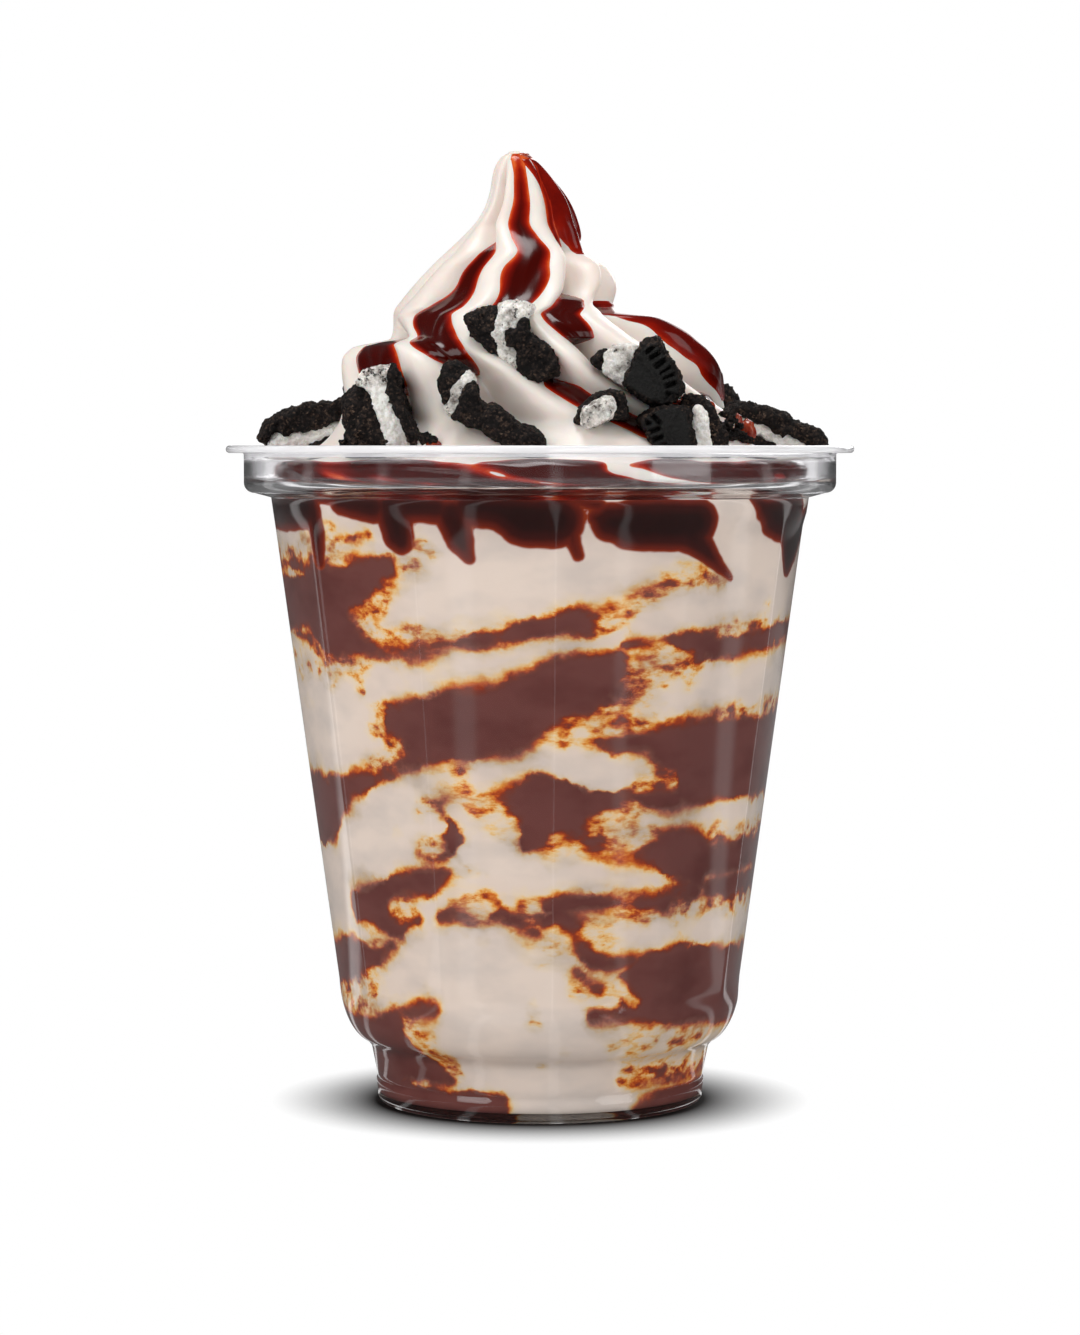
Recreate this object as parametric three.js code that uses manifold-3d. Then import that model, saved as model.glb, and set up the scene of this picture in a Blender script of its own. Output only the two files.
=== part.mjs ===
// A soft-serve sundae in a clear fluted plastic cup. Millimetres, +Z up, the middle of the cup's foot at the
// origin, and the front at -Y. The cup is thermoformed: a flange, a wide collar, twelve flat panels that taper to
// a shoulder, and a round foot. It holds ice cream rippled with fudge, a piped swirl with fudge in its grooves,
// and pieces of chocolate sandwich cookie pressed into the swirl all round the rim.
import * as THREE from 'three';
import { mergeVertices } from 'three/addons/utils/BufferGeometryUtils.js';
import Module from 'manifold-3d';

// ---- driving dimensions ----
const CUP_HEIGHT = 99.6;
const FLANGE_RADIUS = 47.5;
const FLANGE_THICK = 1.1;
const FLANGE_EDGE = 0.4; // easing of the flange's rim
const COLLAR_RADIUS = 44.8;
const COLLAR_FOOT = 91.8; // height at which the ledge under the collar leaves the wall
const LEDGE_RISE = 0.7;
const LEDGE_CORNER = 1.5;
const WALL_THICK = 0.9;
const WALL_TOP_RADIUS = 40.7;
const WALL_END = 18.6; // height at which the tapered wall turns into the shoulder
const WALL_END_RADIUS = 30.6;
const SHOULDER_FULLNESS = 0.8;
const THROAT_OUT = 0.9; // from the foot's top out and up to where the shoulder starts
const THROAT_RISE = 1.1;
const FOOT_TOP = 8.6;
const FOOT_TOP_RADIUS = 25.7;
const FOOT_RADIUS = 24.7;
const FOOT_CORNER = 1;
const FOOT_GROOVE = 3.6; // height of the moulded line round the foot
const GROOVE_DEPTH = 0.25;
const FLOOR_THICK = 1.2;
const FOOT_RECESS = 0.8; // hollow under the foot, inside the ring that it stands on
const RECESS_RADIUS = 20;

const PANELS = 12;
const PANEL_TURN = THREE.MathUtils.degToRad(3.3); // azimuth of the panel edge nearest the front
const PANEL_FLATNESS = 0.6; // 0 is a round wall, and 1 a flat-sided one
const PANEL_TOP = 90; // heights between which the panels fade in and out
const PANEL_BOTTOM = 15;
const PANEL_FADE = 4;

const CLEARANCE = 0.3; // between pieces that touch
const FILL_TOP = 92.2;
const SWIRL_FOOT = FILL_TOP + CLEARANCE;
const SWIRL_TIP = 144;

const RIDGES = 10; // ribs that the star nozzle leaves round the swirl
const RIDGE_BREADTH = 0.7; // under 1 the ridges are broad, with narrow grooves
const WAFER_THICK = 3.6;
const CREAM_THICK = 2.4;
const COOKIE_RADIUS = 22;

// ---- small helpers ----

// A smooth curve through [x, y] points in rising x, with no overshoot between them, and level beyond its ends.
function curve(points) {
  const slope = (i) => (points[i + 1][1] - points[i][1]) / (points[i + 1][0] - points[i][0]);
  const tangents = points.map((_, i) => {
    if (i === 0 || i === points.length - 1) return 0;
    const [before, after] = [slope(i - 1), slope(i)];
    return before * after <= 0 ? 0 : (2 * before * after) / (before + after);
  });
  return (x) => {
    if (x <= points[0][0]) return points[0][1];
    const next = points.findIndex((p) => p[0] >= x);
    if (next < 0) return points.at(-1)[1];
    const [x0, y0] = points[next - 1];
    const [x1, y1] = points[next];
    const run = x1 - x0;
    const t = (x - x0) / run;
    const lift = t * t * (3 - 2 * t);
    const out = t * (1 - t) * (1 - t) * run * tangents[next - 1];
    const back = t * t * (t - 1) * run * tangents[next];
    return y0 + (y1 - y0) * lift + out + back;
  };
}

// Random numbers from 0 to 1, the same for the same seed.
function randomFrom(seed) {
  let state = seed >>> 0;
  return () => {
    state = (state + 0x6d2b79f5) >>> 0;
    let mixed = Math.imul(state ^ (state >>> 15), 1 | state);
    mixed = (mixed + Math.imul(mixed ^ (mixed >>> 7), 61 | mixed)) ^ mixed;
    return ((mixed ^ (mixed >>> 14)) >>> 0) / 4294967296;
  };
}

const smoothstep = THREE.MathUtils.smoothstep;

const wasm = await Module();
wasm.setup();

function solidOf(geometry) {
  const plain = new THREE.BufferGeometry().setAttribute('position', geometry.getAttribute('position').clone());
  plain.setIndex(geometry.getIndex());
  const merged = mergeVertices(plain, 1e-4);
  const vertProperties = new Float32Array(merged.attributes.position.array);
  const triVerts = new Uint32Array(merged.index.array);
  return new wasm.Manifold(new wasm.Mesh({ numProp: 3, vertProperties, triVerts }));
}

function geometryOf(solid) {
  const mesh = solid.getMesh();
  const geometry = new THREE.BufferGeometry();
  geometry.setAttribute('position', new THREE.BufferAttribute(new Float32Array(mesh.vertProperties), 3));
  geometry.setIndex(new THREE.BufferAttribute(new Uint32Array(mesh.triVerts), 1));
  const faceted = geometry.toNonIndexed();
  faceted.computeVertexNormals();
  return faceted;
}

// A lathe about +Z, starting at an azimuth. Azimuth 0 is the front, -Y, and 90 degrees is +X.
function turned(profile, segments, start = 0) {
  const points = profile.map(([radius, height]) => new THREE.Vector2(radius, height));
  return new THREE.LatheGeometry(points, segments, start).rotateX(Math.PI / 2);
}

// ---- the cup ----

// How much of its round radius the wall keeps, as flat panels pull it in between their edges.
function panelShare(azimuth, height) {
  const pitch = (2 * Math.PI) / PANELS;
  const turn = (azimuth - PANEL_TURN) / pitch;
  const fromMiddle = (turn - Math.floor(turn) - 0.5) * pitch;
  const flat = Math.cos(pitch / 2) / Math.cos(fromMiddle);
  const rise = smoothstep(height, PANEL_BOTTOM, PANEL_BOTTOM + PANEL_FADE);
  const fade = 1 - smoothstep(height, PANEL_TOP - PANEL_FADE, PANEL_TOP);
  return 1 - (1 - flat) * PANEL_FLATNESS * rise * fade;
}

// A lathe with the panels pressed into it. Each panel takes a whole number of its segments.
function panelled(profile, segmentsPerPanel) {
  const geometry = turned(profile, segmentsPerPanel * PANELS, PANEL_TURN);
  const place = geometry.getAttribute('position');
  for (let i = 0; i < place.count; i++) {
    const [x, y, z] = [place.getX(i), place.getY(i), place.getZ(i)];
    const share = panelShare(Math.atan2(x, -y), z);
    place.setXYZ(i, x * share, y * share, z);
  }
  return geometry;
}

// Points between two others on a corner that turns from outward to upward. fullness is 1 for a quarter of an
// ellipse, and 0 for a straight line.
function roundedCorner([r0, z0], [r1, z1], fullness, steps) {
  return Array.from({ length: steps - 1 }, (_, i) => {
    const part = (i + 1) / steps;
    const angle = (part * Math.PI) / 2;
    const out = THREE.MathUtils.lerp(part, Math.sin(angle), fullness);
    const up = THREE.MathUtils.lerp(part, 1 - Math.cos(angle), fullness);
    return [r0 + (r1 - r0) * out, z0 + (z1 - z0) * up];
  });
}

// The cup's side from the shoulder up to the collar's lower face, drawn in by an inset.
function wallProfile(inset, footHeight, collarHeight) {
  const footTop = [FOOT_TOP_RADIUS - inset, FOOT_TOP];
  const throat = [FOOT_TOP_RADIUS + THROAT_OUT - inset, FOOT_TOP + THROAT_RISE];
  const wallEnd = [WALL_END_RADIUS - inset, WALL_END];
  const wallTop = [WALL_TOP_RADIUS - inset, collarHeight];
  const along = (height) => [
    THREE.MathUtils.mapLinear(height, wallEnd[1], wallTop[1], wallEnd[0], wallTop[0]),
    height,
  ];
  return [
    [FOOT_RADIUS - inset, footHeight],
    footTop,
    throat,
    ...roundedCorner(throat, wallEnd, SHOULDER_FULLNESS, 5),
    wallEnd,
    along(PANEL_BOTTOM + 2 * PANEL_FADE),
    along(55),
    along(PANEL_TOP - PANEL_FADE),
    along(PANEL_TOP),
    wallTop,
  ];
}

// The ledge that runs out from the top of the wall, and the corner where it turns up into the collar.
function collarProfile(inset, footHeight) {
  const ledgeEnd = [COLLAR_RADIUS - inset - LEDGE_CORNER, footHeight + LEDGE_RISE];
  const collarStart = [COLLAR_RADIUS - inset, footHeight + LEDGE_RISE + LEDGE_CORNER];
  return [ledgeEnd, ...roundedCorner(ledgeEnd, collarStart, 1, 3), collarStart];
}

function cupGeometry() {
  const outer = [
    [0, FOOT_RECESS],
    [RECESS_RADIUS - 1, FOOT_RECESS],
    [RECESS_RADIUS, 0],
    [FOOT_RADIUS - FOOT_CORNER, 0],
    [FOOT_RADIUS - 0.2 * FOOT_CORNER, FOOT_CORNER],
    [FOOT_RADIUS + GROOVE_DEPTH, FOOT_GROOVE - GROOVE_DEPTH],
    ...wallProfile(0, FOOT_GROOVE, COLLAR_FOOT),
    ...collarProfile(0, COLLAR_FOOT),
    [COLLAR_RADIUS, CUP_HEIGHT - FLANGE_THICK],
    [FLANGE_RADIUS - FLANGE_EDGE, CUP_HEIGHT - FLANGE_THICK],
    [FLANGE_RADIUS, CUP_HEIGHT - FLANGE_THICK / 2],
    [FLANGE_RADIUS - FLANGE_EDGE, CUP_HEIGHT],
    [0, CUP_HEIGHT],
  ];
  const floor = FOOT_RECESS + FLOOR_THICK;
  const inner = [
    [0, floor],
    ...wallProfile(WALL_THICK, floor, COLLAR_FOOT + WALL_THICK),
    ...collarProfile(WALL_THICK, COLLAR_FOOT + WALL_THICK),
    [COLLAR_RADIUS - WALL_THICK, CUP_HEIGHT + 1],
    [0, CUP_HEIGHT + 1],
  ];
  const shell = solidOf(panelled(outer, 4));
  const hollow = solidOf(panelled(inner, 3));
  return geometryOf(shell.subtract(hollow));
}

// ---- the rippled ice cream that fills the cup ----

function fillGeometry() {
  const inset = WALL_THICK + CLEARANCE;
  const floor = FOOT_RECESS + FLOOR_THICK + CLEARANCE;
  const edge = FILL_TOP - 0.8;
  const profile = [
    [0, floor],
    ...wallProfile(inset, floor, edge),
    [WALL_TOP_RADIUS - inset - 2, FILL_TOP],
    [0, FILL_TOP],
  ];
  return panelled(profile, 3);
}

// ---- the swirl ----

// How far the swirl reaches from its own middle at each height, on its left side and on its right. Each side
// steps in where the upper coil overhangs the lower one: lower down on the left, and higher up on the right.
const leftReach = curve([
  [92.5, 38.9], [93.4, 39], [94.6, 40.1], [96, 40], [98, 38.2], [100, 36], [103.5, 31.6], [107, 28.9],
  [112.5, 28], [114.3, 26.2], [115.8, 20.2], [119, 19.4], [122, 17.2], [127.5, 12.6], [131, 9.2], [134, 6.9],
  [138, 4.9], [141, 3.7], [143, 2.3], [144, 0.9],
]);
const rightReach = curve([
  [92.5, 38.9], [93.4, 39], [94.6, 40.2], [96, 40.1], [98, 38.9], [100, 37], [103.5, 32.4], [107, 30.2],
  [112.5, 28.2], [116, 25.4], [118.8, 21.2], [120.6, 14.4], [123.5, 15], [126.5, 13.6], [129, 9.8],
  [133, 8.2], [138, 6.2], [141, 4.5], [143, 2.6], [144, 0.9],
]);
// Where the swirl's middle lies at each height, left or right of the cup's.
const lean = curve([
  [92.5, 0], [96, 0], [106, -2], [116, -2.4], [121, -3.4], [126, -3.2], [135, -2.3], [144, -3.7],
]);
// Depth of the grooves as a share of the reach.
const grooveShare = curve([
  [95, 0.02], [98, 0.05], [101, 0.14], [105, 0.24], [110, 0.3], [118, 0.34], [128, 0.34], [138, 0.28], [144, 0.1],
]);

// The azimuth in degrees of the front ridge at each height: it winds one way under the tip, back under the upper
// coil, and then round to the right as it runs down to the rim.
const frontRidge = curve([
  [92, 80], [94, 71], [96, 61], [98, 56], [100.4, 52], [106, 31], [109.7, 20], [113.4, 13], [118.7, 5.5],
  [120.3, 13], [123, 22], [125.9, 27], [128.3, 30], [130.7, 23], [133.1, 16], [137.6, 20], [142, 28],
]);
// How far its neighbours stray from even steps round the swirl, in degrees. The rest keep to them.
const STRAY = new Map([
  [-3, curve([[98, 0], [106, 14], [114, 16], [119, 0]])],
  [-2, curve([[98, 0], [103, 8], [108.3, 17], [112.5, 20], [117, 7.5], [121.2, -1.5], [125.6, -9], [137, 0]])],
  [-1, curve([[95, -6], [99, 0], [104, 9], [109.7, 12], [114, 7], [119.7, 5], [125.9, -6], [128.6, -3],
    [134.6, -9]])],
  [0, curve([[93, -18], [97, -18], [101, 0]])],
  [1, curve([[100, 0], [106, -6], [112, -11], [118, -11], [125.6, -5], [131.6, 10], [138, 12]])],
]);

// The azimuth in degrees of ridge n, counted from the front ridge to the right.
function ridgeAzimuth(ridge, height) {
  const nearest = ridge - RIDGES * Math.round(ridge / RIDGES);
  const stray = STRAY.get(nearest)?.(height) ?? 0;
  return frontRidge(height) + (360 / RIDGES) * ridge + stray;
}

// Fudge that lies in the grooves. Groove n runs from ridge n - 1 to ridge n. Each run goes from one height down
// to another, and fills a share of the groove's depth.
const FUDGE_RUNS = [
  { groove: 0, from: 146, to: 120, level: 0.62 },
  { groove: 0, from: 111, to: 90, level: 0.5 },
  { groove: -1, from: 132, to: 109, level: 0.5 },
  { groove: -1, from: 99, to: 90, level: 0.6 },
  { groove: -2, from: 117, to: 107, level: 0.6 },
  { groove: -2, from: 99, to: 90, level: 0.6 },
  { groove: 1, from: 146, to: 100, level: 0.62 },
  { groove: 2, from: 119, to: 101, level: 0.95 },
  { groove: 3, from: 135, to: 98, level: 0.5 },
  { groove: 4, from: 122, to: 93, level: 0.6 },
  { groove: 5, from: 144, to: 108, level: 0.6 },
  { groove: 6, from: 126, to: 94, level: 0.55 },
  { groove: 7, from: 140, to: 112, level: 0.6 },
  { groove: 7, from: 100, to: 90, level: 0.6 },
];
const FUDGE_END = 2.2; // height over which a run thins out at its ends

function fudgeLevel(groove, height) {
  const levels = FUDGE_RUNS.filter((run) => (run.groove - groove) % RIDGES === 0).map((run) => {
    const shown = smoothstep(Math.min(run.from - height, height - run.to), 0, FUDGE_END);
    return run.level * shown - 0.4 * (1 - shown);
  });
  return Math.max(0, ...levels);
}

// A point of the swirl's surface: part of the way, from 0 to 1, from one ridge to the next, at a height.
function swirlPoint(ridge, part, height) {
  const [from, to] = [ridgeAzimuth(ridge, height), ridgeAzimuth(ridge + 1, height)];
  const azimuth = THREE.MathUtils.degToRad(THREE.MathUtils.lerp(from, to, part));
  const side = Math.sin(azimuth);
  const reach = (leftReach(height) * (1 - side) + rightReach(height) * (1 + side)) / 2;
  const crest = Math.pow(Math.cos(Math.PI * part), 2) ** RIDGE_BREADTH;
  const level = Math.max(crest, fudgeLevel(ridge + 1, height));
  const radius = reach * (1 - grooveShare(height) * (1 - level));
  return [lean(height) + radius * side, -radius * Math.cos(azimuth), height];
}

const RIDGE_COLUMNS = 6; // columns of vertices from one ridge to the next
const SWIRL_ROWS = [
  SWIRL_FOOT, 93.4, 94.6, 96, 98, 99.6, 101.2, 102.8, 104.4, 106, 107.6, 109.2, 110.8, 112.4, 113.6, 114.6, 115.6,
  116.8, 118, 119, 120, 121, 122.4, 124, 125.6, 127.2, 128.6, 130, 132, 134, 136, 138, 140, 141.6, 142.8, 143.6,
];

function swirlGeometry() {
  const columns = RIDGES * RIDGE_COLUMNS;
  const profile = [[0, SWIRL_FOOT], ...SWIRL_ROWS.map((height) => [1, height]), [0, SWIRL_TIP]];
  const geometry = turned(profile, columns);
  const place = geometry.getAttribute('position');
  // The lathe lists its vertices column by column, and its columns wind with the ridges.
  for (let i = 0; i < place.count; i++) {
    const column = Math.floor(i / profile.length) % columns;
    const [radius, height] = profile[i % profile.length];
    const ridge = Math.floor(column / RIDGE_COLUMNS);
    const part = (column % RIDGE_COLUMNS) / RIDGE_COLUMNS;
    place.setXYZ(i, ...(radius ? swirlPoint(ridge, part, height) : [lean(height), 0, height]));
  }
  return geometry;
}

// ---- the cookie pieces ----

// Each piece is a broken bit of sandwich cookie. at is the middle of its cream, axis the way its thickness runs,
// and reach its size from the middle. along is the way it is longest, and slim its width over its length. rim is
// the side that keeps the cookie's round edge. layers are what is left of the sandwich: wafer a on the axis side,
// cream, and wafer b.
const FRONT_PIECES = [
  { name: 'left_rim', at: [-34.9, -4, 101.3], axis: [-0.15, -0.05, 0.98], reach: 7.6, seed: 11 },
  { name: 'left_front', at: [-21.8, -25.5, 104.2], axis: [0.9, -0.25, 0.36], reach: 6.2, seed: 12 },
  {
    name: 'middle_left', at: [-10, -29, 107], axis: [0.85, -0.2, -0.48], reach: 3.6,
    seed: 13, layers: ['cream', 'b'],
  },
  {
    name: 'middle_low', at: [-5.6, -32, 101], axis: [0.4, -0.15, 0.9], reach: 6.6,
    along: [1, 0, -0.4], slim: 0.7, seed: 14, layers: ['a'],
  },
  {
    name: 'upper', at: [-4.1, -22, 114.5], axis: [0.96, -0.25, 0.12], reach: 5.9,
    along: [0, 0, 1], slim: 0.8, seed: 15,
  },
  {
    name: 'right_small', at: [8.5, -32, 104.2], axis: [-0.2, -0.8, 0.55], reach: 4.1,
    seed: 16, layers: ['cream', 'b'],
  },
  {
    name: 'right_upper', at: [13.2, -24.5, 110.1], axis: [0.85, -0.5, 0.1], reach: 4.6,
    rim: [0.5, 0.85, 0.1], seed: 17,
  },
  {
    name: 'right_front', at: [23.3, -25.5, 101], axis: [-0.72, -0.65, -0.05], reach: 4.8,
    rim: [-0.65, 0.72, -0.2], seed: 18,
  },
  { name: 'right_rim', at: [34.9, -5, 101.1], axis: [0.4, -0.1, 0.91], reach: 7.6, seed: 19 },
];
// The pieces round the back lie in nearly even steps of azimuth, in degrees.
const BACK_PIECES = 5;
const BACK_FROM = 125;
const BACK_STEP = 26.5;

function cookiePieces() {
  const random = randomFrom(77);
  const pieces = [...FRONT_PIECES];
  for (let i = 0; i < BACK_PIECES; i++) {
    const azimuth = THREE.MathUtils.degToRad(BACK_FROM + i * BACK_STEP + 4 * random());
    const far = 33 + 1.2 * random();
    const lie = 0.1 + 1.1 * random();
    const twist = 1.5 * (random() - 0.5);
    pieces.push({
      name: `back_${i + 1}`,
      at: [far * Math.sin(azimuth), -far * Math.cos(azimuth), 101.8 + 1.6 * random()],
      axis: [
        lie * Math.sin(azimuth) + twist * Math.cos(azimuth),
        twist * Math.sin(azimuth) - lie * Math.cos(azimuth),
        0.9,
      ],
      reach: 4.6 + 1.8 * random(),
      rim: i % 2 ? [Math.sin(azimuth), -Math.cos(azimuth), 0] : undefined,
      seed: 30 + i,
    });
  }
  return pieces;
}

const OUTLINE_POINTS = 9;

// Distances from the piece's middle to its broken edge, in equal steps of angle.
function brokenOutline(piece, group) {
  const random = randomFrom(piece.seed);
  const toPiece = group.quaternion.clone().invert();
  const turnOf = (direction) => {
    const { x, y } = new THREE.Vector3(...direction).applyQuaternion(toPiece);
    return Math.atan2(y, x);
  };
  return Array.from({ length: OUTLINE_POINTS }, (_, i) => {
    const angle = (i / OUTLINE_POINTS) * 2 * Math.PI;
    let broken = piece.reach * (0.86 + 0.28 * random());
    if (piece.along) {
      const off = angle - turnOf(piece.along);
      broken *= piece.slim / Math.hypot(piece.slim * Math.cos(off), Math.sin(off));
    }
    if (!piece.rim) return broken;
    const off = angle - turnOf(piece.rim);
    const fromCookieMiddle = COOKIE_RADIUS - piece.reach;
    const toRim = Math.sqrt(COOKIE_RADIUS ** 2 - (fromCookieMiddle * Math.sin(off)) ** 2);
    return Math.min(broken * 1.15, toRim - fromCookieMiddle * Math.cos(off));
  });
}

// One layer: the outline between two heights, with crags at its broken sides and slightly eased faces.
function layerGeometry(outline, low, high, share, random) {
  const points = [];
  const ease = 0.25 * Math.min(1, high - low);
  const levels = [
    [low, 0.9],
    [low + ease, 1],
    [high - ease, 1],
    [high, 0.9],
  ];
  levels.forEach(([height, scale]) => {
    outline.forEach((radius, i) => {
      const angle = (i / outline.length) * 2 * Math.PI;
      const crag = 1 - 0.07 * random();
      const out = radius * scale * share * crag;
      points.push(out * Math.cos(angle), out * Math.sin(angle), height);
    });
  });
  const count = outline.length;
  const index = [];
  for (let level = 0; level < levels.length - 1; level++) {
    for (let i = 0; i < count; i++) {
      const next = (i + 1) % count;
      const [a, b] = [level * count + i, level * count + next];
      index.push(a, b, b + count, a, b + count, a + count);
    }
  }
  const last = (levels.length - 1) * count;
  const middle = points.length / 3;
  points.push(0, 0, low, 0, 0, high);
  for (let i = 0; i < count; i++) {
    const next = (i + 1) % count;
    index.push(middle, next, i, middle + 1, last + i, last + next);
  }
  const geometry = new THREE.BufferGeometry();
  geometry.setAttribute('position', new THREE.BufferAttribute(new Float32Array(points), 3));
  geometry.setIndex(index);
  return geometry;
}

const waferLook = new THREE.MeshStandardMaterial({ color: '#241b18', roughness: 0.85, metalness: 0 });
const creamLook = new THREE.MeshStandardMaterial({ color: '#d6d2c8', roughness: 0.7, metalness: 0 });

function cookieGroup(piece) {
  const group = new THREE.Group();
  group.position.set(...piece.at);
  const axis = new THREE.Vector3(...piece.axis).normalize();
  group.quaternion.setFromUnitVectors(new THREE.Vector3(0, 0, 1), axis);
  const outline = brokenOutline(piece, group);
  const half = CREAM_THICK / 2;
  const random = randomFrom(piece.seed + 500);
  const layers = {
    a: ['wafer_a', half + CLEARANCE, half + CLEARANCE + WAFER_THICK, 1, waferLook],
    cream: ['cream', -half, half, 0.93, creamLook],
    b: ['wafer_b', -half - CLEARANCE - WAFER_THICK, -half - CLEARANCE, 1, waferLook],
  };
  for (const layer of piece.layers ?? ['a', 'cream', 'b']) {
    const [name, low, high, share, look] = layers[layer];
    const mesh = new THREE.Mesh(layerGeometry(outline, low, high, share, random), look);
    mesh.name = `cookie_${piece.name}_${name}`;
    group.add(mesh);
  }
  group.updateMatrixWorld(true);
  return group;
}

// The room that a cookie piece takes in the swirl: the hull of its layers, a little larger all round.
function pocket(group) {
  const places = [];
  const middle = new THREE.Vector3();
  group.children.forEach((mesh) => {
    const place = mesh.geometry.getAttribute('position');
    for (let i = 0; i < place.count; i++) places.push(new THREE.Vector3().fromBufferAttribute(place, i));
  });
  places.forEach((point) => middle.addScaledVector(point, 1 / places.length));
  const grown = places.map((point) => {
    const out = point.clone().sub(middle);
    const spread = new THREE.Vector3(out.x, out.y, 0).setLength(2 * CLEARANCE);
    const rise = new THREE.Vector3(0, 0, Math.sign(out.z) * CLEARANCE);
    return point.clone().add(spread).add(rise).applyMatrix4(group.matrixWorld).toArray();
  });
  return wasm.Manifold.hull(grown);
}

// ---- the assembled sundae ----

const sundae = new THREE.Group();

function add(name, geometry, look) {
  const mesh = new THREE.Mesh(geometry, look);
  mesh.name = name;
  sundae.add(mesh);
}

const clearPlastic = new THREE.MeshStandardMaterial({
  color: '#e8ebf0', roughness: 0.12, metalness: 0, transparent: true, opacity: 0.35,
});
const ripple = new THREE.MeshStandardMaterial({ color: '#b99e92', roughness: 0.5, metalness: 0 });
const softServe = new THREE.MeshStandardMaterial({ color: '#f0ebe4', roughness: 0.45, metalness: 0 });

const cookies = cookiePieces().map(cookieGroup);
cookies.forEach((cookie) => sundae.add(cookie));

let swirl = solidOf(swirlGeometry());
cookies.forEach((cookie) => {
  swirl = swirl.subtract(pocket(cookie));
});
// A crag that the pockets cut loose is dropped.
swirl = swirl.decompose().reduce((most, part) => (part.volume() > most.volume() ? part : most));

add('cup', cupGeometry(), clearPlastic);
add('ice_cream_fill', fillGeometry(), ripple);
add('swirl', geometryOf(swirl), softServe);

export default sundae;
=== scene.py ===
from math import cos, pi, radians, sin

import bmesh
import bpy
import numpy as np
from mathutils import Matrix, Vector, noise


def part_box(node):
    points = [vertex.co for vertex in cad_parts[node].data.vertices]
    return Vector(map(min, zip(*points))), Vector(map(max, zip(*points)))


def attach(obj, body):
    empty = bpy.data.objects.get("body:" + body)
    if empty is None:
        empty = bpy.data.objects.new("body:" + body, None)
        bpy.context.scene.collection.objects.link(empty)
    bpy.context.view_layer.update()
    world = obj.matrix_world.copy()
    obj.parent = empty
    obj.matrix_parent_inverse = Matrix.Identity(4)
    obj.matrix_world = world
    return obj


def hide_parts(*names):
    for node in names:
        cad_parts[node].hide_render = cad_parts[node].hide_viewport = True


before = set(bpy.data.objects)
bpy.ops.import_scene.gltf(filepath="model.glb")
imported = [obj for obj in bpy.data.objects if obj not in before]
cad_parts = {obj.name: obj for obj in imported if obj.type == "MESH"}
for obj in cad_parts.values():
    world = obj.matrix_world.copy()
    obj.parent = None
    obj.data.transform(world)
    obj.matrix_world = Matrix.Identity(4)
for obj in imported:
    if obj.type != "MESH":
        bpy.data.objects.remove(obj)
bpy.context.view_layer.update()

# Sizes are in millimetres, and azimuths in degrees: 0 is the front, -Y, and 90 is +X.
MM = 0.001


# ---- camera ----
# The photo's view: a long lens level with the cup's flange, turned down a little to take in the foot. The
# whole sundae stands upright in its frame, which is 1080 wide and 1335 high.

camera_data = bpy.data.cameras.new("camera")
camera_data.sensor_fit = "VERTICAL"
camera_data.sensor_height = 36
camera_data.lens = 108.1
camera = bpy.data.objects.new("camera", camera_data)
camera.location = (0, -0.6087, 0.0994)
camera.rotation_euler = (radians(90 - 3.15), 0, 0)
bpy.context.scene.collection.objects.link(camera)
bpy.context.scene.camera = camera


# ---- rippled ice cream ----
# Soft vanilla ice cream with thick fudge folded through it, filled up to the collar. It is pressed flat
# against the cup's wall, where the ripples show with an orange fringe, and fudge has run down round its top.

WALL_THICK = 0.9
WALL_REACH = 0.15          # how far the ice cream reaches into the wall, so that no air shows between them
FOOT_RADIUS = 24.7
FOOT_GROOVE = 3.6          # height of the moulded line round the foot
FOOT_TOP = (25.7, 8.6)     # radius and height of each corner of the cup's side
THROAT = (26.6, 9.7)
WALL_END = (30.6, 18.6)
WALL_TOP = (40.7, 91.8)
SHOULDER_FULLNESS = 0.8    # 1 is a quarter of an ellipse, and 0 a straight line
PANELS = 12
PANEL_TURN = 3.3           # azimuth of the panel edge nearest the front
PANEL_FLATNESS = 0.6       # 0 is a round wall, and 1 a flat-sided one
PANEL_BOTTOM = 15
PANEL_TOP = 90
PANEL_FADE = 4             # height over which the panels fade in and out
FILL_FOOT = 1.5
FILL_TOP = 92.2
FILL_CORNER = 0.8          # how far its foot is drawn in
FILL_ROWS = 220
FILL_COLUMNS = 480
DEGREE = 0.62              # length of a degree round the wall, half-way up
FAR = 6                    # a ripple's edge is not looked for further away than this
WAVE_SIZE = 4.5            # of the waves in a ripple's edge, and how far they shift it in all
WAVE_REACH = 3.4
FEATHER_SIZE = 0.9         # of the small tears in it, and how far they shift it in all
FEATHER_REACH = 1.1
FRINGE_CHANGE = 7          # length along an edge over which its fringe grows and thins
FRINGE_BREADTH = (0.3, 1.35)
AMBER_EDGE = (-3.0, 0.4)   # where an amber smear starts and is full, as how far inside its stroke
AMBER_STRENGTH = 0.85
MOTTLE_SIZE = 2.6          # of the specks in a smear
SHADE_SIZE = 8             # of the darker and lighter patches
DRIP_WAVE_SIZE = 4         # of the waves in the top fudge's edge
DRIP_WAVE_REACH = 0.8


def rounded_corner(start, end, fullness, steps):
    """Points of a corner that turns from outward to upward."""
    part = np.linspace(0, 1, steps)
    out = (1 - fullness) * part + fullness * np.sin(part * pi / 2)
    up = (1 - fullness) * part + fullness * (1 - np.cos(part * pi / 2))
    return np.stack([start[0] + (end[0] - start[0]) * out, start[1] + (end[1] - start[1]) * up], axis=1)


wall_corners = np.vstack([
    [FOOT_RADIUS, FOOT_GROOVE],
    FOOT_TOP,
    rounded_corner(THROAT, WALL_END, SHOULDER_FULLNESS, 24),
    WALL_TOP,
])


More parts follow.
